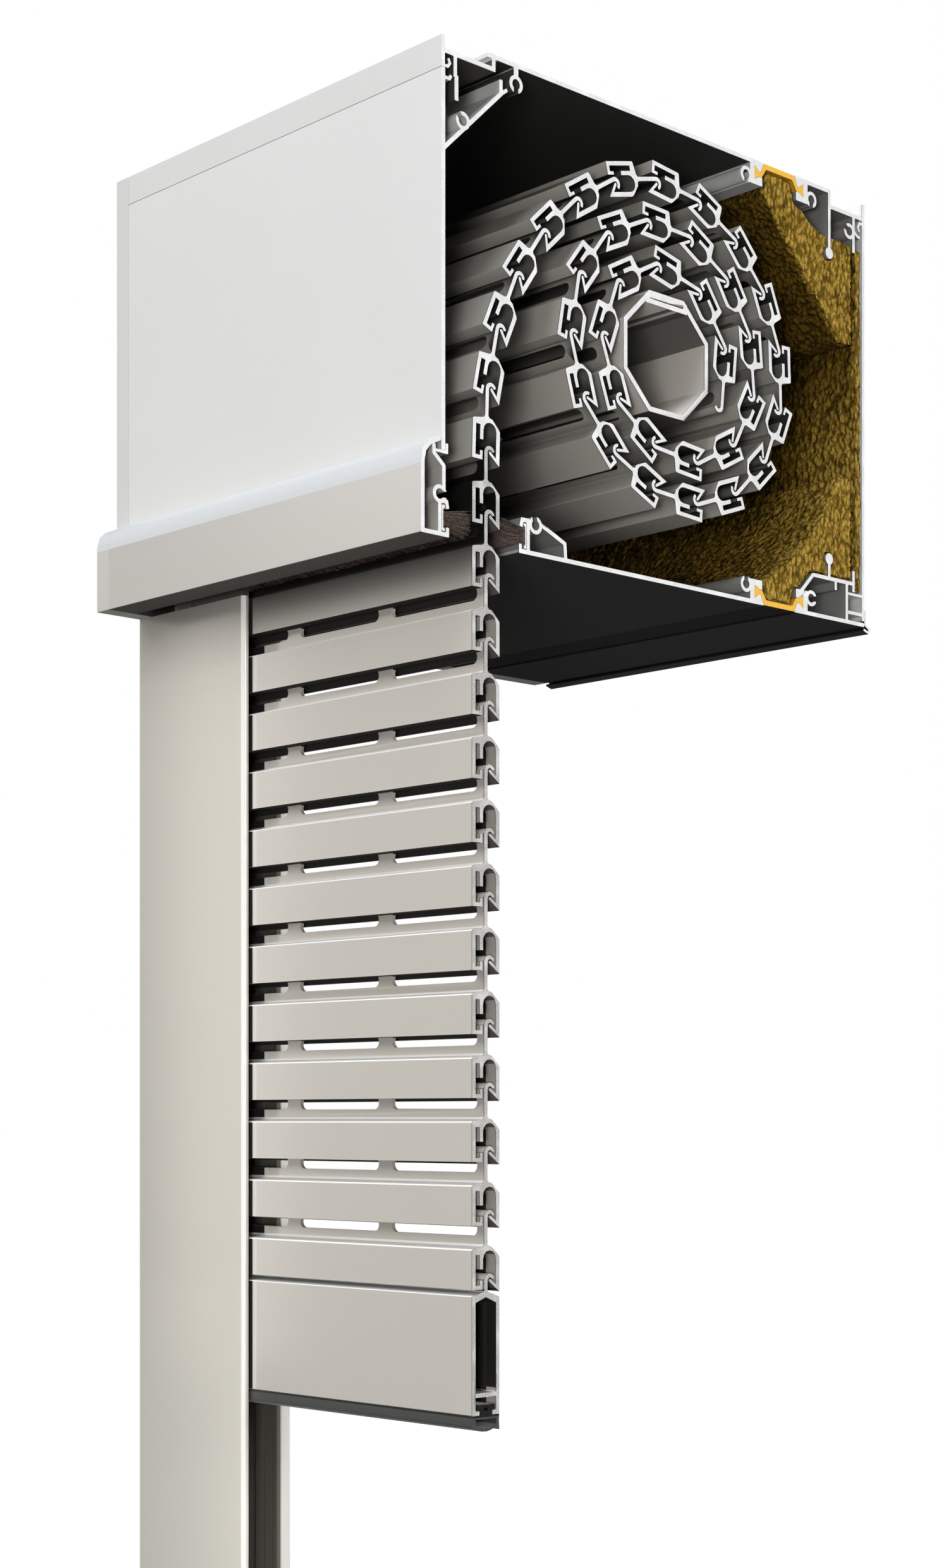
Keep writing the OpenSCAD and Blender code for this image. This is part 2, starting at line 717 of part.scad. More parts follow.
module slat_hangers() {
    base = shaft_af / 2 + hanger_t / 2 + 0.05;
    color("silver") difference() {
        for (x = hanger_x) {
            along(x - hanger_w / 2, x + hanger_w / 2) on_flat() {
                wall([to_flat(hang_p), hang_lip, [hang_foot - 7, base], [hang_foot + 5, base]], hanger_t);
                translate(to_flat(hang_p)) circle(lip_r, $fn = 24);
            }
        }
        at_hangers() translate([0, 0, shaft_af / 2 - 6]) cylinder(r = 1.7, h = 12, $fn = 24);
    }
}

module hanger_rivets() {
    color("silver") at_hangers() translate([0, 0, shaft_af / 2 - shaft_t - 1.2]) {
        cylinder(r = 1.65, h = shaft_t + 2.4, $fn = 24);
        translate([0, 0, shaft_t + 1.2 + hanger_t + 0.1]) cylinder(r = 3, h = 1, $fn = 24);
    }
}

// Bottom bar, in the slat frame with its hook at the origin

bar_z = outlet_z - pitch * (hung_slats + 1);
bar_roof = -7;
bar_floor = -53;
bar_lip = 4.4;

module bar_frame(over = 0) {
    along(-slat_len - over, over) translate([guide_y, bar_z]) children();
}

module bottom_bar() {
    color("tan") bar_frame() {
        polygon(concat([[web_y, bar_roof + 1]], hook_outline(0), [[-hook_r, bar_roof + 1]]));
        difference() {
            polygon([[-slat_front, -bar_h], [-slat_front, bar_roof], [web_y, bar_roof + 2], [-hook_r, bar_roof + 2],
                [slat_rear, bar_roof - 0.6], [slat_rear, -bar_h]]);
            polygon([[-slat_front + slat_wall, bar_floor + 1], [-slat_front + slat_wall, bar_roof - 3],
                [-hook_r - web_t / 2, bar_roof - 0.6], [slat_rear - slat_wall, bar_roof - 3.4],
                [slat_rear - slat_wall, bar_floor + 1]]);
            plate(-slat_front + slat_wall, slat_rear - slat_wall, -bar_h + 2, bar_floor - 1);
            plate(-slat_front + bar_lip, slat_rear - bar_lip, -bar_h - 1, bar_floor - 1);
        }
    }
}

module bottom_seal() {
    low = -bar_h - seal_h;
    mid = (slat_rear - slat_front) / 2;
    color("dimgray") difference() {
        union() {
            bar_frame() polygon([[-slat_front, -bar_h - 0.1], [slat_rear, -bar_h - 0.1],
                [slat_rear, low + 2], [mid + 3, low], [mid - 3, low], [-slat_front, low + 2]]);
            bar_frame() plate(-slat_front + bar_lip + fit, slat_rear - bar_lip - fit, -bar_h - 1, -bar_h + 3);
            bar_frame() plate(-slat_front + slat_wall + 1, slat_rear - slat_wall - 1, -bar_h + 2 + fit, -bar_h + 5);
        }
        bar_frame(2) polygon([[-slat_front + 1.8, -bar_h - 1.8], [slat_rear - 1.8, -bar_h - 1.8],
            [slat_rear - 1.8, low + 3], [mid + 2.4, low + 1.6], [mid - 2.4, low + 1.6], [-slat_front + 1.8, low + 3]]);
        bar_frame(2) translate([mid, -bar_h + 2.6]) circle(1.2, $fn = 24);
    }
}

module bar_end_plug() {
    color("dimgray") {
        along(-slat_len - 1.5, -slat_len - 0.05) translate([guide_y, bar_z])
            plate(-slat_front + 0.5, slat_rear - 0.5, -bar_h + 0.5, bar_roof - 1);
        along(-slat_len - 0.5, -slat_len + 14) translate([guide_y, bar_z])
            plate(-slat_front + slat_wall + fit, slat_rear - slat_wall - fit, bar_floor + 1 + fit, bar_roof - 4);
    }
}

// Guide rail, drawn in plan

slide_gap = 0.7;
slide_grooves = [4, 11, 19, 27];
mouth_lip = 3.4;
rear_lip = 5.6;
slide_y = guide_y + slat_rear + slide_gap;
groove_x = rail_right - 13.5;

module plan(z0, z1) {
    translate([0, 0, z0]) linear_extrude(z1 - z0) children();
}

module bar_xy(x0, x1, y0, y1) {
    translate([x0, y0]) square([x1 - x0, y1 - y0]);
}

fixing_x = (rail_left + channel_x) / 2;
fixing_z = [rail_foot + 110, rail_foot + 110 + fixing_pitch];

module rail_body() {
    inner = rail_rear - rear_lip;
    color("tan") difference() {
        plan(rail_foot, rail_top) {
            bar_xy(rail_left, rail_right, rail_rear - rail_t, rail_rear);
            bar_xy(rail_left, rail_left + rail_t, rail_front + mouth_lip + 0.3, rail_rear);
            bar_xy(channel_x - rail_t, channel_x, rail_front + rail_t + fit, rail_rear);
            bar_xy(rail_right - rail_t, rail_right, inner, rail_rear);
            bar_xy(channel_x - 0.1, groove_x, inner, inner + 1.6);
            bar_xy(groove_x + 7, rail_right, inner, inner + 1.6);
            bar_xy(rail_left + 1, rail_left + 6, rail_front + 12, rail_front + 13.5);
            bar_xy(channel_x - 6, channel_x - 1, rail_front + 12, rail_front + 13.5);
        }
        for (z = fixing_z) {
            translate([fixing_x, rail_rear - rail_t - 1, z]) rotate([-90, 0, 0])
                cylinder(r = fixing_r, h = rail_t + 2, $fn = 32);
        }
    }
}

module rail_cover() {
    edge = 2.6;
    leg = 9.6;
    color("tan") plan(rail_foot, rail_top) {
        bar_xy(rail_left, rail_right - edge, rail_front, rail_front + rail_t);
        translate([rail_right - edge, rail_front + edge]) intersection() {
            circle(edge, $fn = 48);
            translate([0, -edge]) square([edge, edge]);
        }
        bar_xy(rail_right - edge, rail_right, rail_front + edge - 0.01, rail_front + mouth_lip);
        bar_xy(rail_left, rail_left + rail_t, rail_front, rail_front + mouth_lip);
        for (x = [rail_left + rail_t + fit, channel_x - rail_t - fit - 1.5]) {
            bar_xy(x, x + 1.5, rail_front + 1, rail_front + rail_t + leg);
        }
        bar_xy(rail_left + rail_t + fit, rail_left + 5, rail_front + 10.2, rail_front + rail_t + leg);
        bar_xy(channel_x - 5, channel_x - rail_t - fit, rail_front + 10.2, rail_front + rail_t + leg);
    }
}

module rail_slide() {
    inner = rail_rear - rear_lip;
    color("dimgray") plan(rail_foot, rail_top) {
        difference() {
            bar_xy(channel_x + 1, rail_right - 1, slide_y, inner - 0.05);
            for (x = slide_grooves) {
                bar_xy(rail_right - x - 1, rail_right - x, slide_y - 1, slide_y + 0.8);
            }
        }
        bar_xy(groove_x + 1, groove_x + 6, inner - 0.1, inner + 2);
        bar_xy(groove_x - 0.5, groove_x + 7.5, inner + 1.7, inner + 3);
    }
}

module rail_inlet() {
    face = guide_y - slat_front - slide_gap;
    low = under + 0.1;
    high = under + 20;
    color("dimgray") {
        along(channel_x + 0.5, rail_right)
            polygon([[face, low], [face, low + 8], [face - 4, high], [face - 6, high], [face - 4, low]]);
        along(channel_x + 0.5, rail_right)
            polygon([[slide_y, low], [slide_y, low + 8], [slide_y + 6, high], [slide_y + 8.5, high],
                [slide_y + 8.5, low + 3], [slide_y + 4, low]]);
        along(channel_x - 3, channel_x + 0.6)
            polygon([[face - 4, low], [face - 6, high], [slide_y + 8.5, high], [slide_y + 8.5, low + 3], [slide_y + 4, low]]);
    }
}

// Tongue that ties the rail to the end cap

connector_x = cap_x + 0.05;
connector_y = [rail_front + 14.5, rail_rear - rail_t - 2];
connector_holes = [for (z = [12, 34]) [(connector_y[0] + connector_y[1]) / 2, under + z]];

module rail_connector() {
    color("lightsteelblue") difference() {
        union() {
            translate([connector_x, connector_y[0], under + 0.2])
                cube([3, connector_y[1] - connector_y[0], 44]);
            translate([connector_x, connector_y[0], under - 46])
                cube([3, connector_y[1] - connector_y[0], 48]);
        }
        for (c = connector_holes) {
            translate([connector_x - 1, c[0], c[1]]) rotate([0, 90, 0]) cylinder(r = 1.85, h = 6, $fn = 24);
        }
    }
}

module connector_screws() {
    color("silver") for (c = connector_holes) {
        translate([-sample_w, c[0], c[1]]) rotate([0, 90, 0]) screw(cap_t + 6, 1.8);
    }
}

module rail_foot_cap() {
    color("tan") {
        plan(rail_foot - 3, rail_foot - 0.05) bar_xy(rail_left, rail_right, rail_front, rail_rear);
        plan(rail_foot - 1, rail_foot + 12)
            bar_xy(rail_left + 8, channel_x - rail_t - 6, rail_front + 14.5, rail_rear - rail_t - fit);
    }
}

front_panel();
top_panel();
nose_profile();
bottom_panel();
rear_panel();
rear_top_profile();
rear_bottom_profile();
drip_strip();
thermal_break(true);  // thermal_break_top
thermal_break(false);  // thermal_break_bottom
insulation_upper();
insulation_lower();
insulation_rear();
brush_front();
brush_rear();
end_cap();
end_cap_screws();
bearing_bracket();
bracket_screws();
bearing_outer_ring();
bearing_balls();
ball_cage();
bearing_inner_ring();
axle_pin();
shaft_capsule();
capsule_screws();
shaft_tube();
slat_hangers();
hanger_rivets();
upper_group(inner_from, upper_slats - 1);  // roll_slats_inner
upper_group(middle_from, inner_from - 1);  // roll_slats_middle
upper_group(first_wound, middle_from - 1);  // roll_slats_outer
upper_group(arch_slats + 2, arch_slats + 2);  // landing_slat
upper_group(arch_slats + 1, arch_slats + 1);  // release_slat
upper_group(1, arch_slats);
upper_group(0, 0);  // entry_slat
hung_slat(0);  // outlet_slat
hung_slat(1);  // slat_1
hung_slat(2);  // slat_2
hung_slat(3);  // slat_3
hung_slat(4);  // slat_4
hung_slat(5);  // slat_5
hung_slat(6);  // slat_6
hung_slat(7);  // slat_7
hung_slat(8);  // slat_8
hung_slat(9);  // slat_9
hung_slat(10);  // slat_10
hung_slat(11);  // slat_11
hung_slat(12);  // slat_12
bottom_bar();
bottom_seal();
bar_end_plug();
rail_body();
rail_cover();
rail_slide();
rail_inlet();
rail_connector();
connector_screws();
rail_foot_cap();
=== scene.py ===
import json
import math

import bmesh
import bpy
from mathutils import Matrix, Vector
from mathutils.bvhtree import BVHTree


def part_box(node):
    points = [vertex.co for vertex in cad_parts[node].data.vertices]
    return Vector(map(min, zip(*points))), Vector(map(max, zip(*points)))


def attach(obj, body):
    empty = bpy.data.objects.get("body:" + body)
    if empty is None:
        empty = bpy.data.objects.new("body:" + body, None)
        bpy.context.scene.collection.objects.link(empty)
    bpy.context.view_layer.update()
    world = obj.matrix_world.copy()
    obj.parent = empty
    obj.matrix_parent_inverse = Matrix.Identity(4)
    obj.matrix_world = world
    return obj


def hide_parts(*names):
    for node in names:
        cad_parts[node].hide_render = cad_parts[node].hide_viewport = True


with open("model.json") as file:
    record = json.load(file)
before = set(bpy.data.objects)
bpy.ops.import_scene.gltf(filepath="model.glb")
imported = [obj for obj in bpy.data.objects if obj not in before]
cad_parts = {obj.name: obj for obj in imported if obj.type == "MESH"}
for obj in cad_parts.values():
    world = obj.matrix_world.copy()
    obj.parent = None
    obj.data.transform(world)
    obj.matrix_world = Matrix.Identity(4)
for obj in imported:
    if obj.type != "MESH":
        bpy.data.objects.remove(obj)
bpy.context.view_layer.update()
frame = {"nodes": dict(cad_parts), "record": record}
nodes = frame["nodes"]
nodeBody = {n: body for body, members in frame["record"]["behaviour"]["bodies"].items() for n in members}
mm = 0.001
print("frame loaded:", len(nodes), "nodes")


# node trees

def addNode(tree, kind, sockets=None, **settings):
    node = tree.nodes.new(kind)
    for name, value in settings.items():
        setattr(node, name, value)
    for key, value in (sockets or {}).items():
        if isinstance(value, bpy.types.NodeSocket):
            tree.links.new(value, node.inputs[key])
        else:
            node.inputs[key].default_value = value
    return node


def calc(tree, operation, a, b=0.0, c=0.0, clamp=False):
    return addNode(tree, "ShaderNodeMath", {0: a, 1: b, 2: c}, operation=operation, use_clamp=clamp).outputs[0]


def remap(tree, value, low, high, newLow=0.0, newHigh=1.0, **settings):
    return addNode(tree, "ShaderNodeMapRange", {"Value": value, "From Min": low, "From Max": high,
                                                "To Min": newLow, "To Max": newHigh}, **settings).outputs[0]


def mixColor(tree, factor, a, b, blend="MIX"):
    return addNode(tree, "ShaderNodeMix", {0: factor, 6: a, 7: b}, data_type="RGBA", blend_type=blend).outputs[2]


def mixValue(tree, factor, a, b):
    return addNode(tree, "ShaderNodeMix", {0: factor, 2: a, 3: b}, data_type="FLOAT").outputs[0]


def vectorMath(tree, operation, sockets):
    return addNode(tree, "ShaderNodeVectorMath", sockets, operation=operation).outputs[0]


def split(tree, vector):
    return addNode(tree, "ShaderNodeSeparateXYZ", {0: vector}).outputs


def partPlace(tree):
    return addNode(tree, "ShaderNodeTexCoord").outputs["Object"]


def newGroup(name, kind, inputs, outputs):
    tree = bpy.data.node_groups.new(name, kind)
    for label, socketType, value in inputs:
        socket = tree.interface.new_socket(label, in_out="INPUT", socket_type="NodeSocket" + socketType)
        if value is not None:
            socket.default_value = value
    for label, socketType in outputs:
        tree.interface.new_socket(label, in_out="OUTPUT", socket_type="NodeSocket" + socketType)
    return tree, tree.nodes.new("NodeGroupInput").outputs, tree.nodes.new("NodeGroupOutput").inputs


def linkAll(tree, sockets, values):
    for label, value in values.items():
        tree.links.new(value, sockets[label])


def turned(tree, coordinate, scale=(1, 1, 1), rotation=(0, 0, 0)):
    return addNode(tree, "ShaderNodeMapping", {"Vector": coordinate, "Scale": scale, "Rotation": rotation}).outputs[0]


def noise(tree, vector, scale, detail=2.0, rough=0.5, distortion=0.0):
    return addNode(tree, "ShaderNodeTexNoise", {"Vector": vector, "Scale": scale, "Detail": detail,
                                                "Roughness": rough, "Distortion": distortion}).outputs[0]


# what several finishes share

cutLook = {"color": (0.97, 0.97, 0.96, 1), "groove": (0.27, 0.265, 0.255, 1), "spacing": 0.78, "strength": 0.32,
           "slant": math.radians(38), "roughness": 0.5, "rim": 0.0006, "rimShade": 0.55}
waveRepeat = 314.0  # mm between the bands of a wave texture at scale 1
perMetre = 1000.0  # turns a size in mm into the scale of a noise


def buildCutGroup():
    # saw-cut end in the plane x = 0: a mask, and the tone and height of its slanting marks
    tree, given, result = newGroup(
        "sawCut", "ShaderNodeTree", [("Spacing", "Float", 1.1), ("Strength", "Float", 0.5), ("Rim", "Float", 0.0007)],
        [("Mask", "Float"), ("Tone", "Float"), ("Height", "Float"), ("Edge", "Float")])
    place = addNode(tree, "ShaderNodeTexCoord").outputs
    alongX = split(tree, place["Object"])[0]
    towards = calc(tree, "GREATER_THAN", split(tree, place["Normal"])[0], 0.8)
    mask = calc(tree, "MULTIPLY", calc(tree, "GREATER_THAN", alongX, -0.0004), towards)
    slanted = turned(tree, place["Object"], rotation=(cutLook["slant"], 0, 0))
    scale = calc(tree, "DIVIDE", waveRepeat, given["Spacing"])
    wave = addNode(tree, "ShaderNodeTexWave", {"Vector": slanted, "Scale": scale, "Distortion": 3.5, "Detail": 2.0,
                                               "Detail Scale": 1.6},
                   wave_type="BANDS", bands_direction="Y").outputs[1]
    line = remap(tree, wave, 0.6, 0.32)
    patchy = remap(tree, noise(tree, place["Object"], 95.0, 3.0), 0.34, 0.52)
    marks = calc(tree, "MULTIPLY", calc(tree, "MULTIPLY", line, patchy), given["Strength"])
    fine = remap(tree, noise(tree, turned(tree, slanted, (1, 1, 0.12)), 2600.0, 2.0), 0.3, 0.7, 0.0, 0.16)
    tone = calc(tree, "SUBTRACT", 1.0, calc(tree, "ADD", marks, fine), clamp=True)
    near = calc(tree, "GREATER_THAN", alongX, calc(tree, "MULTIPLY", given["Rim"], -1.0))
    edge = calc(tree, "MULTIPLY", near, calc(tree, "SUBTRACT", 1.0, towards))
    linkAll(tree, result, {"Mask": mask, "Tone": tone, "Height": tone, "Edge": edge})
    return tree


def buildSkinGroup():
    # powder coat: fine orange peel, faint die lines, a slow drift of tone and a painted shade that deepens away from
    # the cut
    tree, given, result = newGroup(
        "powderSkin", "ShaderNodeTree",
        [("Grain", "Float", 0.5), ("Lines", "Float", 0.5), ("Stretch", "Vector", (4, 900, 900)),
         ("Inner Tone", "Float", 1.0), ("Reach", "Float", 0.12)],
        [("Tone", "Float"), ("Rough", "Float"), ("Height", "Float")])
    place = partPlace(tree)
    peel = noise(tree, place, calc(tree, "DIVIDE", perMetre, given["Grain"]), 2.0, 0.55)
    lines = noise(tree, turned(tree, place, given["Stretch"]), 1.0, 3.0, 0.6)
    drift = noise(tree, place, 14.0, 3.0, 0.5)
    specks = remap(tree, noise(tree, place, 1500.0, 1.0), 0.72, 0.8)
    lineTone = calc(tree, "MULTIPLY", calc(tree, "SUBTRACT", lines, 0.5), given["Lines"])
    tone = calc(tree, "ADD", remap(tree, drift, 0.3, 0.7, 0.99, 1.008), calc(tree, "MULTIPLY", lineTone, 0.06))
    tone = calc(tree, "SUBTRACT", tone, calc(tree, "MULTIPLY", specks, 0.05))
    # painted shade: the tone falls to Inner Tone at the depth Reach behind the cut
    nearCut = remap(tree, split(tree, place)[0], calc(tree, "MULTIPLY", given["Reach"], -1.0), 0.0,
                    interpolation_type="SMOOTHSTEP")
    tone = calc(tree, "MULTIPLY", tone, mixValue(tree, nearCut, given["Inner Tone"], 1.0))
    rough = calc(tree, "ADD", remap(tree, drift, 0.3, 0.7, -0.012, 0.015), calc(tree, "MULTIPLY", lineTone, 0.2))
    height = calc(tree, "ADD", calc(tree, "MULTIPLY", peel, 0.7), calc(tree, "MULTIPLY", lineTone, 1.2))
    linkAll(tree, result, {"Tone": tone, "Rough": rough, "Height": height})
    return tree


def buildFaceGroup():
    # mask of the faces that look one way inside a box of the part, such as a panel's hidden side
    tree, given, result = newGroup(
        "faceInBox", "ShaderNodeTree",
        [("Direction", "Vector", (0, 0, -1)), ("Low", "Vector", (-1, -1, -1)), ("High", "Vector", (1, 1, 1)),
         ("Above", "Float", 0.6)], [("Mask", "Float")])
    place = addNode(tree, "ShaderNodeTexCoord").outputs
    facing = addNode(tree, "ShaderNodeVectorMath", {0: place["Normal"], 1: given["Direction"]},
                     operation="DOT_PRODUCT").outputs["Value"]
    mask = calc(tree, "GREATER_THAN", facing, given["Above"])
    here, low, high = (split(tree, vector) for vector in (place["Object"], given["Low"], given["High"]))
    for axis in range(3):
        mask = calc(tree, "MULTIPLY", mask, calc(tree, "GREATER_THAN", here[axis], low[axis]))
        mask = calc(tree, "MULTIPLY", mask, calc(tree, "LESS_THAN", here[axis], high[axis]))
    tree.links.new(mask, result["Mask"])
    return tree


def buildWoolGroup():
    # felted wool: lumps with painted shade in their crevices and painted light on their crowns, under a fine fibre
    # grain; painted shade on the faces behind the cut, deepening inwards and upwards, with painted light low down
    tree, given, result = newGroup(
        "woolFelt", "ShaderNodeTree", [("Lump", "Float", 3.0), ("Depth Shade", "Float", 0.5)],
        [("Tone", "Float"), ("Height", "Float")])
    place = partPlace(tree)
    wander = addNode(tree, "ShaderNodeTexNoise", {"Vector": place, "Scale": 210.0, "Detail": 2.0}).outputs["Color"]
    bent = vectorMath(tree, "ADD", {0: place, 1: vectorMath(tree, "SCALE", {0: wander, "Scale": 0.0034})})
    drawn = turned(tree, bent, (0.75, 1.0, 0.52), (0.12, 0.1, 0.15))
    lumps = addNode(tree, "ShaderNodeTexVoronoi", {"Vector": drawn, "Randomness": 1.0,
                                                   "Scale": calc(tree, "DIVIDE", perMetre, given["Lump"])},
                    feature="F1").outputs["Distance"]
    # crown is the lump height: it gives painted shade in the crevices and painted light on the crowns
    crown = remap(tree, lumps, 0.32, 0.8, 1.0, 0.0)
    fibres = noise(tree, turned(tree, place, (0.2, 1.0, 1.0), (0.2, 0.5, 0.9)), 1300.0, 3.0, 0.6, 0.6)
    swell = noise(tree, place, 60.0, 2.0)
    height = calc(tree, "ADD", crown, calc(tree, "MULTIPLY", fibres, 0.35))
    tone = calc(tree, "ADD", calc(tree, "MULTIPLY", crown, 0.66), remap(tree, fibres, 0.25, 0.75, 0.0, 0.5))
    tone = calc(tree, "ADD", tone, remap(tree, swell, 0.3, 0.7, -0.14, 0.14), clamp=True)
    here = split(tree, place)
    # painted shade on the faces behind the cut: darker deeper in and higher up, lighter low down
    deep = calc(tree, "MULTIPLY", remap(tree, here[0], -0.08, -0.004, given["Depth Shade"], 1.0),
                remap(tree, here[2], -0.012, 0.04, 1.2, 0.42))
    cutFace = remap(tree, here[0], -0.0045, -0.0022, interpolation_type="SMOOTHSTEP")
    tone = calc(tree, "MULTIPLY", tone, mixValue(tree, cutFace, deep, 1.0))
    linkAll(tree, result, {"Tone": tone, "Height": height})
    return tree


groups = {"cut": buildCutGroup(), "skin": buildSkinGroup(), "face": buildFaceGroup(), "wool": buildWoolGroup()}
materials = {}


def useGroup(tree, name, sockets=None):
    node = addNode(tree, "ShaderNodeGroup")
    node.node_tree = groups[name]
    for key, value in (sockets or {}).items():
        node.inputs[key].default_value = value
    return node.outputs


def newMaterial(name):
    material = bpy.data.materials.new(name)
    material.use_nodes = True
    materials[name] = material
    return material.node_tree, material.node_tree.nodes["Principled BSDF"]


def addBump(tree, shader, height, distance, strength=1.0):
    bump = addNode(tree, "ShaderNodeBump", {"Height": height, "Distance": distance, "Strength": strength})
    tree.links.new(bump.outputs[0], shader.inputs["Normal"])


def scaledColor(tree, color, tone):
    grey = addNode(tree, "ShaderNodeCombineColor", {0: tone, 1: tone, 2: tone}).outputs[0]
    return mixColor(tree, 1.0, color, grey, "MULTIPLY")


# the painted nook shade is full up to darkNook openness and gone from openFace on
darkNook, openFace = 0.28, 0.85  # openness at which a nook's tone ends, and from which the paint is plain
dull = 0.6  # zones rougher than this have no clear coat


def coated(name, color, roughness=0.4, grain=0.5, lines=0.15, bump=0.00002, coat=0.0, cutColor=None,
           cutSpacing=None, cutStrength=None, zones=(), metallic=0.0, upright=False, rim=True, gloss=0.5,
           coatRoughness=0.12, innerTone=1.0, reach=0.12, nookTone=None, fades=()):
    # innerTone: painted shade at the depth reach behind the cut; nookTone: painted shade in nooks; fades of (from
    # height, to height, tone there): painted shade where the tone is below 1, painted light where it is above
    tree, shader = newMaterial(name)
    stretch = (900, 900, 4) if upright else (4, 900, 900)
    skin = useGroup(tree, "skin", {"Grain": grain, "Lines": lines, "Stretch": stretch, "Inner Tone": innerTone,
                                   "Reach": reach})
    cut = useGroup(tree, "cut", {"Spacing": cutSpacing or cutLook["spacing"],
                                 "Strength": cutStrength or cutLook["strength"],
                                 "Rim": cutLook["rim"] if rim else 0.0})
    tone = skin["Tone"]
    # painted shade in nooks, read from the openness attribute
    if nookTone is not None:
        openness = addNode(tree, "ShaderNodeAttribute", attribute_name="openness").outputs["Fac"]
        tone = calc(tree, "MULTIPLY", tone, remap(tree, openness, darkNook, openFace, nookTone, 1.0))
    # painted shade and painted light along the height
    for fromZ, toZ, toTone in fades:
        upward = split(tree, partPlace(tree))[2]
        tone = calc(tree, "MULTIPLY", tone, remap(tree, upward, fromZ, toZ, 1.0, toTone))
    base = scaledColor(tree, (*color, 1), tone)
    rough = calc(tree, "ADD", skin["Rough"], roughness)
    coatWeight = coat
    for zone, zoneColor, zoneRoughness in zones:
        inZone = useGroup(tree, "face", dict(zip(("Direction", "Low", "High", "Above"), zone)))["Mask"]
        base = mixColor(tree, inZone, base, (*zoneColor, 1))
        rough = mixValue(tree, inZone, rough, zoneRoughness)
        if coat and zoneRoughness > dull:
            coatWeight = mixValue(tree, inZone, coatWeight, 0.0)
    # painted shade on the side faces along the rim of the cut
    base = scaledColor(tree, base, calc(tree, "SUBTRACT", 1.0,
                                        calc(tree, "MULTIPLY", cut["Edge"], cutLook["rimShade"])))
    bright = mixColor(tree, cut["Tone"], cutLook["groove"], cutColor or cutLook["color"])
    base = mixColor(tree, cut["Mask"], base, bright)
    rough = mixValue(tree, cut["Mask"], rough, cutLook["roughness"])
    height = mixValue(tree, cut["Mask"], skin["Height"], cut["Height"])
    linkAll(tree, shader.inputs, {"Base Color": base, "Roughness": rough})
    if metallic:
        tree.links.new(mixValue(tree, cut["Mask"], metallic, 0.0), shader.inputs["Metallic"])
    shader.inputs["Specular IOR Level"].default_value = gloss
    if coat and coatWeight is not coat:
        tree.links.new(coatWeight, shader.inputs["Coat Weight"])
    else:
        shader.inputs["Coat Weight"].default_value = coat
    shader.inputs["Coat Roughness"].default_value = coatRoughness
    addBump(tree, shader, height, bump, 0.6)


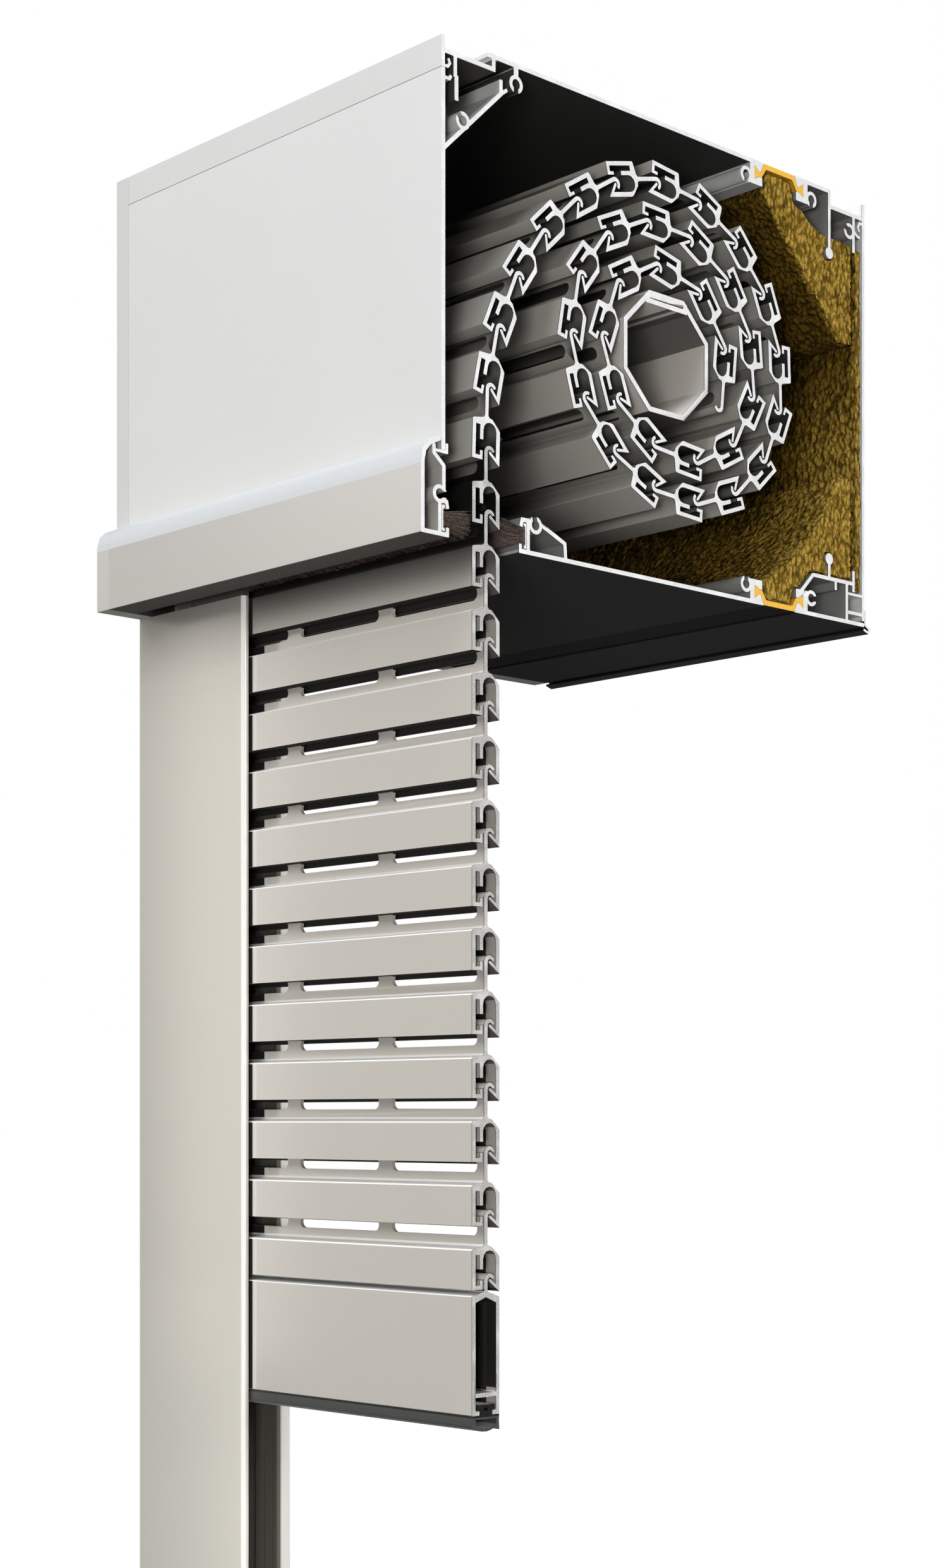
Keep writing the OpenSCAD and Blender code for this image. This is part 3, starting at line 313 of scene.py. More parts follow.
# zones of a paint: where on the part (direction, low corner, high corner, least facing), colour and roughness
down, forward, rearward = (0, 0, -1), (0, -1, 0), (0, 1, 0)
everyWay, butUp = -2.0, -0.9  # least facing that takes in all faces, or all but those that look up
lowest, highest, atCut = (-1, -1, -1), (1, 1, 1), -0.0002
zones = {
    # painted shade: near black on the box's inner ceiling
    "ceiling": ((down, (-1, -0.112, 0.108), highest, 0.6), (0.045, 0.044, 0.042), 0.7),
    # painted shade: dark on the brace faces inside the box
    "brace": ((down, (-1, -0.1455, 0.03), (atCut, -0.0595, 0.1128), butUp), (0.075, 0.069, 0.06), 0.5),
    # painted shade: near black on the box's underside
    "underside": ((down, (-1, -0.101, -1), (1, 1, -0.1125), 0.1), (0.07, 0.068, 0.066), 0.95),
    # painted shade: darker on the down-facing faces inside the profiles' chambers
    "chamberLow": ((down, (-1, -0.1, -0.1124), (atCut, 0.1515, 1), butUp), (0.26, 0.255, 0.24), 0.4),
    "chamberHigh": ((down, lowest, (atCut, 0.1495, 0.1143), butUp), (0.26, 0.255, 0.24), 0.4),
    # painted shade: near black on the end cap's inside face
    "capInside": (((1, 0, 0), lowest, (-0.2, 1, 1), 0.6), (0.03, 0.028, 0.026), 0.6),
    "capNose": ((forward, lowest, (1, -0.1475, -0.0685), everyWay), (0.515, 0.495, 0.455), 0.38),
    # painted shade: dark on the hidden back of the front panel
    "panelBack": ((rearward, lowest, highest, 0.3), (0.05, 0.046, 0.04), 0.5),
    # painted shadow: a near black band under the thermal break, between the underside panels
    "breakSeam": ((down, (-1, 0.094, -1), (atCut, 0.0985, -0.1095), everyWay), (0.012, 0.012, 0.011), 0.9),
    "panelJoint": ((forward, (-1, -1, 0.1049), (atCut, 1, 0.1062), everyWay), (0.05, 0.048, 0.045), 0.6),
    # painted shade: dark on the nose's underside
    "noseUnder": ((down, lowest, (1, 1, -0.1125), 0.6), (0.10, 0.095, 0.085), 0.8),
    # painted shade: dark on the nose's back
    "noseBack": ((rearward, lowest, highest, 0.3), (0.09, 0.085, 0.075), 0.5),
    # painted shade: near black on the slats' undersides
    "slatUnder": ((down, lowest, highest, 0.5), (0.016, 0.0145, 0.012), 0.95),
    # painted shade: dark grey under the slats' rear lips
    "lipUnder": ((down, (-1, -0.1185, -1), (atCut, 1, 1), 0.5), (0.15, 0.14, 0.128), 0.6),
    # painted shade: near black inside the bottom bar
    "barInside": ((down, (-1, -0.1273, -0.5055), (atCut, -0.1125, -0.4592), everyWay),
                  (0.02, 0.0195, 0.018), 0.6),
    # painted shade: near black on the front of the slats' back legs, seen through the slots
    "slatBehind": ((forward, (-1, -0.1169, -0.6), (-0.007, -0.1118, -0.02), everyWay), (0.03, 0.028, 0.025), 0.9),
    # painted reflection: a light band on the slats next to the rail, mirroring the rail's lit edge
    "slatRubbed": ((forward, lowest, (-0.1657, 1, 1), 0.9), (0.665, 0.635, 0.575), 0.25),
    # painted shade: near black on the ends of the slats behind the rail
    "slatNook": ((forward, lowest, (-0.1689, 1, 1), 0.9), (0.01, 0.0095, 0.009), 0.9),
    # painted highlight: light on the rounded top edges of the slats
    "upperEdge": (((0, -0.707, 0.707), lowest, (atCut, 1, 1), 0.86), (0.97, 0.96, 0.93), 0.2),
    # painted reflection: lighter on the rounded lower front edges of the slats, as if they catch the floor's light
    "lowerEdge": (((0, -0.707, -0.707), lowest, (atCut, -0.1265, 1), 0.86), (0.62, 0.59, 0.53), 0.3),
    # painted highlight: near white on the rail's rounded front edge
    "railEdge": (((0.707, -0.707, 0), lowest, highest, 0.86), (0.90, 0.88, 0.82), 0.2),
    # painted light: a brighter strip on the rail's inner flange, as where it is lit
    "railInner": (((1, 0, 0), (-1, -0.116, -1), highest, 0.7), (0.80, 0.775, 0.72), 0.3),
    # painted reflection: a light bluish band on the nose's upward-facing top, as of the sky
    "noseTop": (((0, -0.6, 0.8), (-1, -1, -0.0825), (atCut, 1, 1), 0.66), (0.60, 0.612, 0.625), 0.34),
    # painted shade: near black on the thermal break's underside
    "breakUnder": ((down, (-1, -0.101, -1), (1, 1, -0.1125), 0.1), (0.006, 0.0055, 0.005), 0.95),
    # painted shade: dark on the upper faces inside the shaft tube
    "tubeUpper": (((0, -0.707, -0.707), (-1, 0.001, -1), (atCut, 1, 1), 0.88), (0.17, 0.16, 0.145), 0.4),
    "tubeTop": (((0, 0.5, -0.86), lowest, (atCut, 1, 1), 0.75), (0.10, 0.095, 0.09), 0.4),
}
paints = {
    "boxGrey": dict(color=(0.66, 0.658, 0.64), roughness=0.42, grain=0.55, rim=False,
                    zones=("panelBack", "panelJoint")),
    "boxInner": dict(color=(0.72, 0.72, 0.70), roughness=0.4, grain=0.55, zones=("chamberHigh",)),
    "boxGreyTop": dict(color=(0.63, 0.63, 0.612), roughness=0.42, gloss=0.25, rim=False, zones=("brace", "ceiling")),
    "boxGreyBottom": dict(color=(0.60, 0.595, 0.575), roughness=0.4, gloss=0.1,
                          zones=("chamberLow", "underside", "breakSeam")),
    "capGrey": dict(color=(0.60, 0.595, 0.575), roughness=0.42, grain=0.7, rim=False,
                    zones=("capInside", "capNose", "noseTop")),
    "coverWhite": dict(color=(0.76, 0.76, 0.74), roughness=0.4),
    "warmGrey": dict(color=(0.545, 0.515, 0.465), roughness=0.33, grain=0.5, lines=0.1, coat=0.3, gloss=0.35,
                     cutStrength=0.95, cutColor=(0.68, 0.67, 0.64, 1),
                     zones=("slatRubbed", "slatUnder", "lipUnder", "barInside", "slatBehind", "lowerEdge",
                            "upperEdge", "slatNook")),
    # painted shadow: the fade darkens the outlet slats to near black towards their tops, under the nose
    "outletGrey": dict(color=(0.545, 0.515, 0.465), roughness=0.33, grain=0.5, lines=0.1, gloss=0.3,
                       cutStrength=0.95, cutColor=(0.68, 0.67, 0.64, 1), fades=((-0.138, -0.1115, 0.02),),
                       zones=("slatUnder", "lipUnder", "slatBehind", "slatNook")),
    # painted shade: innerTone darkens the rolled slats deeper behind the cut, nookTone in their nooks
    "rollGrey": dict(color=(0.55, 0.52, 0.465), roughness=0.3, grain=0.5, lines=0.1, coat=0.3, cutStrength=0.35,
                     innerTone=0.12, reach=0.1, nookTone=0.06),
    # painted shade: innerTone darkens the nose slightly deeper behind the cut
    "noseGrey": dict(color=(0.56, 0.53, 0.492), roughness=0.36, grain=0.5, lines=0.1, rim=False, innerTone=0.85,
                     reach=0.24, zones=("noseBack", "noseUnder", "noseTop")),
    # painted shade: innerTone darkens the rail deeper behind the cut and the first fade darkens its top under the
    # nose; painted light: the second fade lightens it towards the foot
    "railGrey": dict(color=(0.9, 0.857, 0.763), roughness=0.3, grain=0.5, lines=0.12, upright=True, coat=0.6,
                     innerTone=0.51, reach=0.3, fades=((-0.150, -0.112, 0.56), (-0.45, -0.58, 1.2)),
                     coatRoughness=0.2, rim=False, zones=("railEdge", "railInner")),
    "breakYellow": dict(color=(0.86, 0.42, 0.03), roughness=0.5, grain=0.8, cutColor=(1.0, 0.56, 0.045, 1),
                        cutSpacing=3.0, cutStrength=0.08, zones=("breakUnder",)),
    "darkPlastic": dict(color=(0.055, 0.05, 0.045), roughness=0.5, grain=0.9, cutColor=(0.08, 0.075, 0.07, 1)),
    "railPlastic": dict(color=(0.10, 0.093, 0.078), roughness=0.45, grain=0.7, lines=0.6, upright=True),
    # painted shade: innerTone darkens the inside of the shaft tube deeper behind the cut
    "tubeZinc": dict(color=(0.84, 0.79, 0.715), roughness=0.36, grain=1.4, lines=0.3, metallic=0.1, innerTone=0.06,
                     reach=0.1, zones=("tubeUpper", "tubeTop")),
    "zincSteel": dict(color=(0.46, 0.43, 0.40), roughness=0.36, grain=1.4, lines=0.3, metallic=0.3),
    "steelBright": dict(color=(0.62, 0.62, 0.62), roughness=0.22, grain=0.4, metallic=0.9),
    "cageBrass": dict(color=(0.62, 0.42, 0.16), roughness=0.3, grain=0.6, metallic=0.85),
    "dripDark": dict(color=(0.016, 0.016, 0.016), roughness=0.42, grain=0.8),
}
for paintName, look in paints.items():
    coated(paintName, **{**look, "zones": [zones[name] for name in look.get("zones", ())]})


rubberPaint = {"color": (0.062, 0.062, 0.056, 1), "joint": (0.004, 0.004, 0.004, 1), "jointAbove": -0.5187}


def rubberLook():
    tree, shader = newMaterial("sealRubber")
    skin = useGroup(tree, "skin", {"Grain": 0.8, "Lines": 1.6})
    base = scaledColor(tree, rubberPaint["color"], skin["Tone"])
    joint = useGroup(tree, "face", {"Direction": forward, "Low": (-1, -1, rubberPaint["jointAbove"]),
                                    "High": highest, "Above": everyWay})["Mask"]
    linkAll(tree, shader.inputs, {"Base Color": mixColor(tree, joint, base, rubberPaint["joint"]),
                                  "Roughness": calc(tree, "ADD", skin["Rough"], 0.38)})
    shader.inputs["Sheen Weight"].default_value = 0.25
    shader.inputs["Sheen Roughness"].default_value = 0.4
    addBump(tree, shader, skin["Height"], 0.00005, 0.7)


# the ramp from crevice to crown colour is painted shade in the crevices and painted light on the crowns
woolPaint = {"crevice": (0.02, 0.011, 0.0008, 1), "middle": (0.24, 0.142, 0.0135, 1),
             "crown": (0.54, 0.345, 0.062, 1), "lump": 2.1, "depthShade": 0.32}


def woolLook():
    tree, shader = newMaterial("mineralWool")
    felt = useGroup(tree, "wool", {"Lump": woolPaint["lump"], "Depth Shade": woolPaint["depthShade"]})
    ramp = addNode(tree, "ShaderNodeValToRGB", {0: felt["Tone"]})
    stops = ramp.color_ramp.elements
    stops[0].position, stops[0].color = 0.0, woolPaint["crevice"]
    stops[1].position, stops[1].color = 1.0, woolPaint["crown"]
    stops.new(0.5).color = woolPaint["middle"]
    linkAll(tree, shader.inputs, {"Base Color": ramp.outputs[0],
                                  "Roughness": remap(tree, felt["Tone"], 0, 1, 0.85, 0.6)})
    shader.inputs["Specular IOR Level"].default_value = 0.12
    addBump(tree, shader, felt["Height"], 0.0016, 1.0)


pilePaint = {"dark": (0.012, 0.006, 0.0035, 1), "light": (0.17, 0.092, 0.055, 1), "speckScale": 1250.0}


def pileLook():
    tree, shader = newMaterial("brushPile")
    grain = noise(tree, turned(tree, partPlace(tree), (1, 0.4, 1)), pilePaint["speckScale"], 2.0)
    speck = remap(tree, grain, 0.42, 0.6)
    tree.links.new(mixColor(tree, speck, pilePaint["dark"], pilePaint["light"]), shader.inputs["Base Color"])
    shader.inputs["Roughness"].default_value = 0.6
    shader.inputs["Sheen Weight"].default_value = 0.2
    addBump(tree, shader, speck, 0.0001, 0.5)


rubberLook()
woolLook()
pileLook()
print("materials:", len(materials))


# meshes and objects

def addObject(name, data):
    thing = bpy.data.objects.new(name, data)
    bpy.context.scene.collection.objects.link(thing)
    return thing


def meshOf(bm, name):
    mesh = bpy.data.meshes.new(name)
    bm.to_mesh(mesh)
    bm.free()
    return mesh


def welded(mesh):
    bm = bmesh.new()
    bm.from_mesh(mesh)
    bmesh.ops.remove_doubles(bm, verts=bm.verts, dist=2e-6)
    return bm


def applied(piece):
    graph = bpy.context.evaluated_depsgraph_get()
    mesh = bpy.data.meshes.new_from_object(piece.evaluated_get(graph), preserve_all_data_layers=True,
                                           depsgraph=graph)
    piece.modifiers.clear()
    piece.data = mesh
    return piece


def settled(piece, name):
    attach(piece, nodeBody[name])
    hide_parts(name)
    return piece


def dress(piece, name, material):
    piece.data.materials.clear()
    piece.data.materials.append(materials[material])
    return settled(piece, name)


# rigid nodes: the CAD shape with its long edges rounded, as powder coat leaves them

edgeLook = {"slat": 0.0004, "profile": 0.0004, "rail": 0.0016, "cast": 0.0009, "small": 0.00025}
rounding = {"sharp": math.radians(34), "level": math.radians(0.6), "share": 0.4, "narrow": 0.0007, "least": 0.25}


def edgeRoom(edge, width):
    # share of the full rounding that the narrower of the two faces has room for
    start, end = (v.co for v in edge.verts)
    lengthwise = abs((end - start).normalized().x) > 0.99
    room = min(face.calc_area() for face in edge.link_faces) / max(edge.calc_length(), 1e-6)
    share = min(1.0, rounding["share"] * room / width)
    return share if lengthwise and room > rounding["narrow"] else min(share, rounding["least"])


def roundedCopy(name, width, material):
    bm = welded(nodes[name].data)
    bmesh.ops.dissolve_limit(bm, angle_limit=rounding["level"], verts=bm.verts, edges=bm.edges,
                             use_dissolve_boundaries=False)
    weight = bm.edges.layers.float.new("bevel_weight_edge")
    for face in bm.faces:
        face.smooth = True
    for edge in bm.edges:
        if len(edge.link_faces) != 2:
            continue
        sharp = edge.calc_face_angle(0) > rounding["sharp"]
        edge.smooth = not sharp
        sawn = all(v.co.x > -2e-5 for v in edge.verts)
        if sharp and not sawn:
            edge[weight] = edgeRoom(edge, width)
    piece = addObject(name + "Skin", meshOf(bm, name + "Skin"))
    bevel = piece.modifiers.new("edges", "BEVEL")
    bevel.limit_method = "WEIGHT"
    bevel.width = width
    bevel.segments = 2
    bevel.use_clamp_overlap = True
    bevel.harden_normals = True
    return dress(applied(piece), name, material)


# openness: how much of its surroundings a corner of a slat or of the shaft sees, for the shade in nooks

shadedNooks = {"section": -0.003, "reach": 0.017, "rays": 18, "lift": 0.0003, "inset": 0.12}
nookNodes = [name for name in nodes if "slat" in name and name != "slat_hangers"] + ["shaft_tube"]


def sectionTree():
    corners, faces = [], []
    for name in nookNodes:
        start = len(corners)
        mesh = nodes[name].data
        corners += [tuple(v.co) for v in mesh.vertices]
        faces += [tuple(start + i for i in polygon.vertices) for polygon in mesh.polygons]
    return BVHTree.FromPolygons(corners, faces)


nookTree = sectionTree()


def markOpenness(piece):
    # how far each corner of the profile sees out of its nook, within the section near the cut
    mesh = piece.data
    values = mesh.attributes.new("openness", "FLOAT", "CORNER").data
    known = {}
    for polygon in mesh.polygons:
        normal = polygon.normal
        flat = Vector((0, normal.y, normal.z))
        if flat.length < 0.7:
            for index in polygon.loop_indices:
                values[index].value = 1.0
            continue
        flat.normalize()
        heading = math.atan2(flat.z, flat.y)
        middle = Vector((0, polygon.center.y, polygon.center.z))
        for index in polygon.loop_indices:
            corner = mesh.vertices[mesh.loops[index].vertex_index].co
            key = (round(corner.y, 5), round(corner.z, 5), round(heading, 2), round(middle.y, 4), round(middle.z, 4))
            if key not in known:
                start = Vector((0, corner.y, corner.z)).lerp(middle, shadedNooks["inset"]) + flat * shadedNooks["lift"]
                start.x = shadedNooks["section"]
                seen = 0.0
                for step in range(shadedNooks["rays"]):
                    angle = heading + math.pi * ((step + 0.5) / shadedNooks["rays"] - 0.5)
                    hit = nookTree.ray_cast(start, Vector((0, math.cos(angle), math.sin(angle))),
                                            shadedNooks["reach"])
                    seen += 1.0 if hit[0] is None else hit[3] / shadedNooks["reach"]
                known[key] = seen / shadedNooks["rays"]
            values[index].value = known[key]


rigidLooks = {
    "boxGrey": ["front_panel"],
    "boxInner": ["rear_top_profile"],
    "boxGreyTop": ["top_panel"],
    "boxGreyBottom": ["bottom_panel", "rear_bottom_profile"],
    "capGrey": ["end_cap"],
    "coverWhite": ["rear_panel"],
    "noseGrey": ["nose_profile"],
    "warmGrey": ["slat_%d" % n for n in range(2, 13)] + ["bottom_bar"],
    "outletGrey": ["outlet_slat", "slat_1"],
    "rollGrey": ["entry_slat", "arch_slats", "release_slat", "landing_slat", "roll_slats_outer",
                 "roll_slats_middle", "roll_slats_inner"],
    "railGrey": ["rail_body", "rail_cover", "rail_foot_cap"],
    "breakYellow": ["thermal_break_top", "thermal_break_bottom"],
    "darkPlastic": ["shaft_capsule", "rail_inlet", "bar_end_plug"],
    "railPlastic": ["rail_slide"],
    "tubeZinc": ["shaft_tube"],
    "zincSteel": ["slat_hangers", "bearing_bracket", "rail_connector"],
    "steelBright": ["end_cap_screws", "connector_screws", "bracket_screws", "capsule_screws", "hanger_rivets",
                    "axle_pin"],
    "dripDark": ["drip_strip"],
}
bearingLooks = {"bearing_outer_ring": "steelBright", "bearing_inner_ring": "steelBright",
                "bearing_balls": "steelBright", "ball_cage": "cageBrass"}
edgeOf = {"end_cap": "cast", "rail_body": "rail", "rail_cover": "rail", "rail_foot_cap": "rail"}
for paintName, members in rigidLooks.items():
    for member in members:
        kind = edgeOf.get(member, "slat" if "slat" in member or member == "bottom_bar" else "profile")
        if paintName in ("steelBright", "zincSteel", "tubeZinc"):
            kind = "small"
        piece = roundedCopy(member, edgeLook[kind], paintName)
        if "nookTone" in paints[paintName]:
            markOpenness(piece)
for member, paintName in bearingLooks.items():
    nodes[member].data.materials.clear()
    nodes[member].data.materials.append(materials[paintName])
print("rigid pieces dressed")


# brush seals: a carrier strip and a dense fan of bristles from one Geometry Nodes tree

brushLook = {"strands": 6200, "thickness": 0.00034, "rootHeight": 0.0072, "tipHeight": 0.0118, "stray": 0.09,
             "carrier": 1.6 * mm, "carrierWall": 0.7 * mm, "flange": 1.2 * mm, "flangeRoot": 1.6 * mm,
             "rootDepth": 0.6}


def buildPileTree():
    tree, given, result = newGroup("brushPileTree", "GeometryNodeTree", [
        ("Geometry", "Geometry", None), ("Strands", "Int", 1000), ("Run", "Float", 0.16), ("Length", "Float", 0.016),
        ("Root Height", "Float", 0.007), ("Tip Height", "Float", 0.012), ("Thickness", "Float", 0.0003),
        ("Stray", "Float", 0.1), ("Side", "Float", 1.0), ("Place", "Vector", (0, 0, 0)), ("Seed", "Int", 3),
        ("Pile", "Material", None)], [("Geometry", "Geometry")])

    def randomValue(low, high, step):
        seed = calc(tree, "ADD", given["Seed"], step)
        return addNode(tree, "FunctionNodeRandomValue", {2: low, 3: high, "Seed": seed}, data_type="FLOAT").outputs[1]

    across = randomValue(-0.5, 0.5, 1)
    runAt = calc(tree, "MULTIPLY", randomValue(-1.0, 0.0, 2), given["Run"])
    rootZ = calc(tree, "MULTIPLY", across, given["Root Height"])
    root = addNode(tree, "ShaderNodeCombineXYZ", {0: runAt, 2: rootZ}).outputs[0]
    points = addNode(tree, "GeometryNodePoints", {"Count": given["Strands"], "Position": root}).outputs[0]
    spread = calc(tree, "SUBTRACT", given["Tip Height"], given["Root Height"])
    slope = calc(tree, "DIVIDE", calc(tree, "MULTIPLY", across, spread), given["Length"])
    slope = calc(tree, "ADD", slope, calc(tree, "MULTIPLY", randomValue(-1.0, 1.0, 3), given["Stray"]))
    sideways = calc(tree, "MULTIPLY", randomValue(-1.0, 1.0, 4), given["Stray"])
    aim = addNode(tree, "ShaderNodeCombineXYZ", {0: sideways, 1: given["Side"], 2: slope}).outputs[0]
    turn = addNode(tree, "FunctionNodeAlignRotationToVector", {"Vector": aim}, axis="Z").outputs[0]
    reach = calc(tree, "MULTIPLY", given["Length"], randomValue(0.9, 0.985, 5))
    size = addNode(tree, "ShaderNodeCombineXYZ", {0: 1.0, 1: 1.0, 2: reach}).outputs[0]
    thinner = calc(tree, "MULTIPLY", given["Thickness"], 0.3)
    half = calc(tree, "MULTIPLY", given["Thickness"], 0.5)
    strand = addNode(tree, "GeometryNodeMeshCone", {"Vertices": 3, "Side Segments": 1, "Radius Top": thinner,
                                                    "Radius Bottom": half, "Depth": 1.0}, fill_type="NGON")
    copies = addNode(tree, "GeometryNodeInstanceOnPoints", {"Points": points, "Instance": strand.outputs[0],
                                                            "Rotation": turn, "Scale": size}).outputs[0]
    solid = addNode(tree, "GeometryNodeRealizeInstances", {0: copies}).outputs[0]
    moved = addNode(tree, "GeometryNodeTransform", {"Geometry": solid, "Translation": given["Place"]}).outputs[0]
    painted = addNode(tree, "GeometryNodeSetMaterial", {"Geometry": moved, "Material": given["Pile"]}).outputs[0]
    tree.links.new(painted, result["Geometry"])
    return tree


def setInputs(modifier, values):
    ids = {item.name: item.identifier for item in modifier.node_group.interface.items_tree
           if item.in_out == "INPUT"}
    for label, value in values.items():
        modifier[ids[label]] = value


def grown(name, tree, values, mesh=None):
    piece = addObject(name, mesh or bpy.data.meshes.new(name))
    modifier = piece.modifiers.new("rule", "NODES")
    modifier.node_group = tree
    setInputs(modifier, values)
    return applied(piece)


def prism(name, outline, x0, x1):
    bm = bmesh.new()
    low = [bm.verts.new((x0, y, z)) for y, z in outline]
    high = [bm.verts.new((x1, y, z)) for y, z in outline]
    count = len(outline)
    bm.faces.new(low)
    bm.faces.new(list(reversed(high)))
    for i in range(count):
        bm.faces.new((low[i], high[i], high[(i + 1) % count], low[(i + 1) % count]))
    bmesh.ops.recalc_face_normals(bm, faces=bm.faces)
    return addObject(name, meshOf(bm, name))


def joined(first, second):
    bm = bmesh.new()
    bm.from_mesh(first.data)
    shift = len(first.data.materials)
    start = len(bm.faces)
    bm.from_mesh(second.data)
    bm.faces.ensure_lookup_table()
    for face in bm.faces[start:]:
        face.material_index += shift
    for material in second.data.materials:
        first.data.materials.append(material)
    bm.to_mesh(first.data)
    bm.free()
    bpy.data.objects.remove(second)
    return first


pileTree = buildPileTree()


def brushSeal(name, side, seed):
    # side is 1 where the bristles point into the wall and -1 where they point out of it
    low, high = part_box(name)
    backY, tipY = (low.y, high.y) if side > 0 else (high.y, low.y)
    rootY = backY + side * brushLook["carrier"] * brushLook["rootDepth"]
    frontY = backY + side * brushLook["carrier"]
    wallY = backY + side * brushLook["carrierWall"]
    pile = grown(name + "Pile", pileTree, {
        "Strands": brushLook["strands"], "Run": high.x - low.x - 0.4 * mm, "Length": abs(tipY - rootY),
        "Root Height": brushLook["rootHeight"], "Tip Height": brushLook["tipHeight"],
        "Thickness": brushLook["thickness"], "Stray": brushLook["stray"], "Side": float(side),
        "Place": (high.x - 0.2 * mm, rootY, (low.z + high.z) / 2), "Seed": seed,
        "Pile": materials["brushPile"]})
    strip = prism(name + "Carrier", [
        (backY, low.z), (frontY, low.z), (frontY, low.z + brushLook["flange"]),
        (wallY, low.z + brushLook["flangeRoot"]), (wallY, high.z - brushLook["flangeRoot"]),
        (frontY, high.z - brushLook["flange"]), (frontY, high.z), (backY, high.z)], low.x, high.x)
    strip.data.materials.append(materials["zincSteel"])
    settled(joined(pile, strip), name)


brushSeal("brush_front", 1, 11)
brushSeal("brush_rear", -1, 29)
print("brush seals grown")


# mineral wool: remeshed, roughened inwards, with loose fibres standing on its skin

woolSizes = {"voxel": 0.0015, "sink": 0.0013, "fibres": 4200.0, "fibreLength": 0.003, "fibreThickness": 0.0002}


def buildFibreTree():
    tree, given, result = newGroup("looseFibres", "GeometryNodeTree", [
        ("Geometry", "Geometry", None), ("Per Square Metre", "Float", 40000.0), ("Length", "Float", 0.004),
        ("Thickness", "Float", 0.0002), ("Sink", "Float", 0.001), ("Seed", "Int", 5), ("Wool", "Material", None)],
        [("Geometry", "Geometry")])
    place = addNode(tree, "GeometryNodeInputPosition").outputs[0]
    swell = addNode(tree, "ShaderNodeTexNoise", {"Vector": place, "Scale": 300.0, "Detail": 3.0,
                                                 "Distortion": 1.2}).outputs[0]
    depth = calc(tree, "MULTIPLY", remap(tree, swell, 0.35, 0.68, -1.0, -0.05), given["Sink"])
    outward = addNode(tree, "GeometryNodeInputNormal").outputs[0]
    offset = vectorMath(tree, "SCALE", {0: outward, "Scale": depth})
    skin = addNode(tree, "GeometryNodeSetPosition", {"Geometry": given["Geometry"], "Offset": offset}).outputs[0]
    scatter = addNode(tree, "GeometryNodeDistributePointsOnFaces",
                      {"Mesh": skin, "Density": given["Per Square Metre"], "Seed": given["Seed"]}).outputs
    wander = addNode(tree, "FunctionNodeRandomValue", {0: (-1, -1, -1), 1: (1, 1, 1)},
                     data_type="FLOAT_VECTOR").outputs[0]
    lean = vectorMath(tree, "SCALE", {0: scatter["Normal"], "Scale": 0.22})
    aim = vectorMath(tree, "ADD", {0: wander, 1: lean})
    turn = addNode(tree, "FunctionNodeAlignRotationToVector", {"Vector": aim}, axis="Z").outputs[0]
    tip = calc(tree, "MULTIPLY", given["Thickness"], 0.25)
    half = calc(tree, "MULTIPLY", given["Thickness"], 0.5)
    strand = addNode(tree, "GeometryNodeMeshCone", {"Vertices": 3, "Side Segments": 1, "Radius Top": tip,
                                                    "Radius Bottom": half, "Depth": given["Length"]},
                     fill_type="NGON").outputs[0]
    lowered = addNode(tree, "ShaderNodeCombineXYZ", {2: calc(tree, "MULTIPLY", given["Length"], -0.5)}).outputs[0]
    centred = addNode(tree, "GeometryNodeTransform", {"Geometry": strand, "Translation": lowered}).outputs[0]
    copies = addNode(tree, "GeometryNodeInstanceOnPoints", {"Points": scatter["Points"], "Instance": centred,
                                                            "Rotation": turn}).outputs[0]
    both = tree.nodes.new("GeometryNodeJoinGeometry")
    tree.links.new(skin, both.inputs[0])
    tree.links.new(copies, both.inputs[0])
    solid = addNode(tree, "GeometryNodeRealizeInstances", {0: both.outputs[0]}).outputs[0]
    painted = addNode(tree, "GeometryNodeSetMaterial", {"Geometry": solid, "Material": given["Wool"]}).outputs[0]
    tree.links.new(painted, result["Geometry"])
    return tree


fibreTree = buildFibreTree()


def woolBatt(name, seed):
    batt = addObject(name + "Batt", meshOf(welded(nodes[name].data), name + "Batt"))
    remesh = batt.modifiers.new("even", "REMESH")
    remesh.mode = "VOXEL"
    remesh.voxel_size = woolSizes["voxel"]
    remesh.use_smooth_shade = True
    applied(batt)
    piece = grown(name + "Wool", fibreTree, {
        "Per Square Metre": woolSizes["fibres"], "Length": woolSizes["fibreLength"],
        "Thickness": woolSizes["fibreThickness"], "Sink": woolSizes["sink"], "Seed": seed,
        "Wool": materials["mineralWool"]}, batt.data)
    bpy.data.objects.remove(batt)
    settled(piece, name)


for seed, name in enumerate(("insulation_upper", "insulation_lower", "insulation_rear"), start=4):
    woolBatt(name, seed)
print("mineral wool laid")


# bottom seal: the rubber's lips and hollow, rounder than the CAD profile

sealLook = {"rise": 8, "side": 8.3, "sideEnd": -4.6, "round": (1.9, 1.6), "pip": 1.2}  # millimetres
sealSharp = math.radians(32)


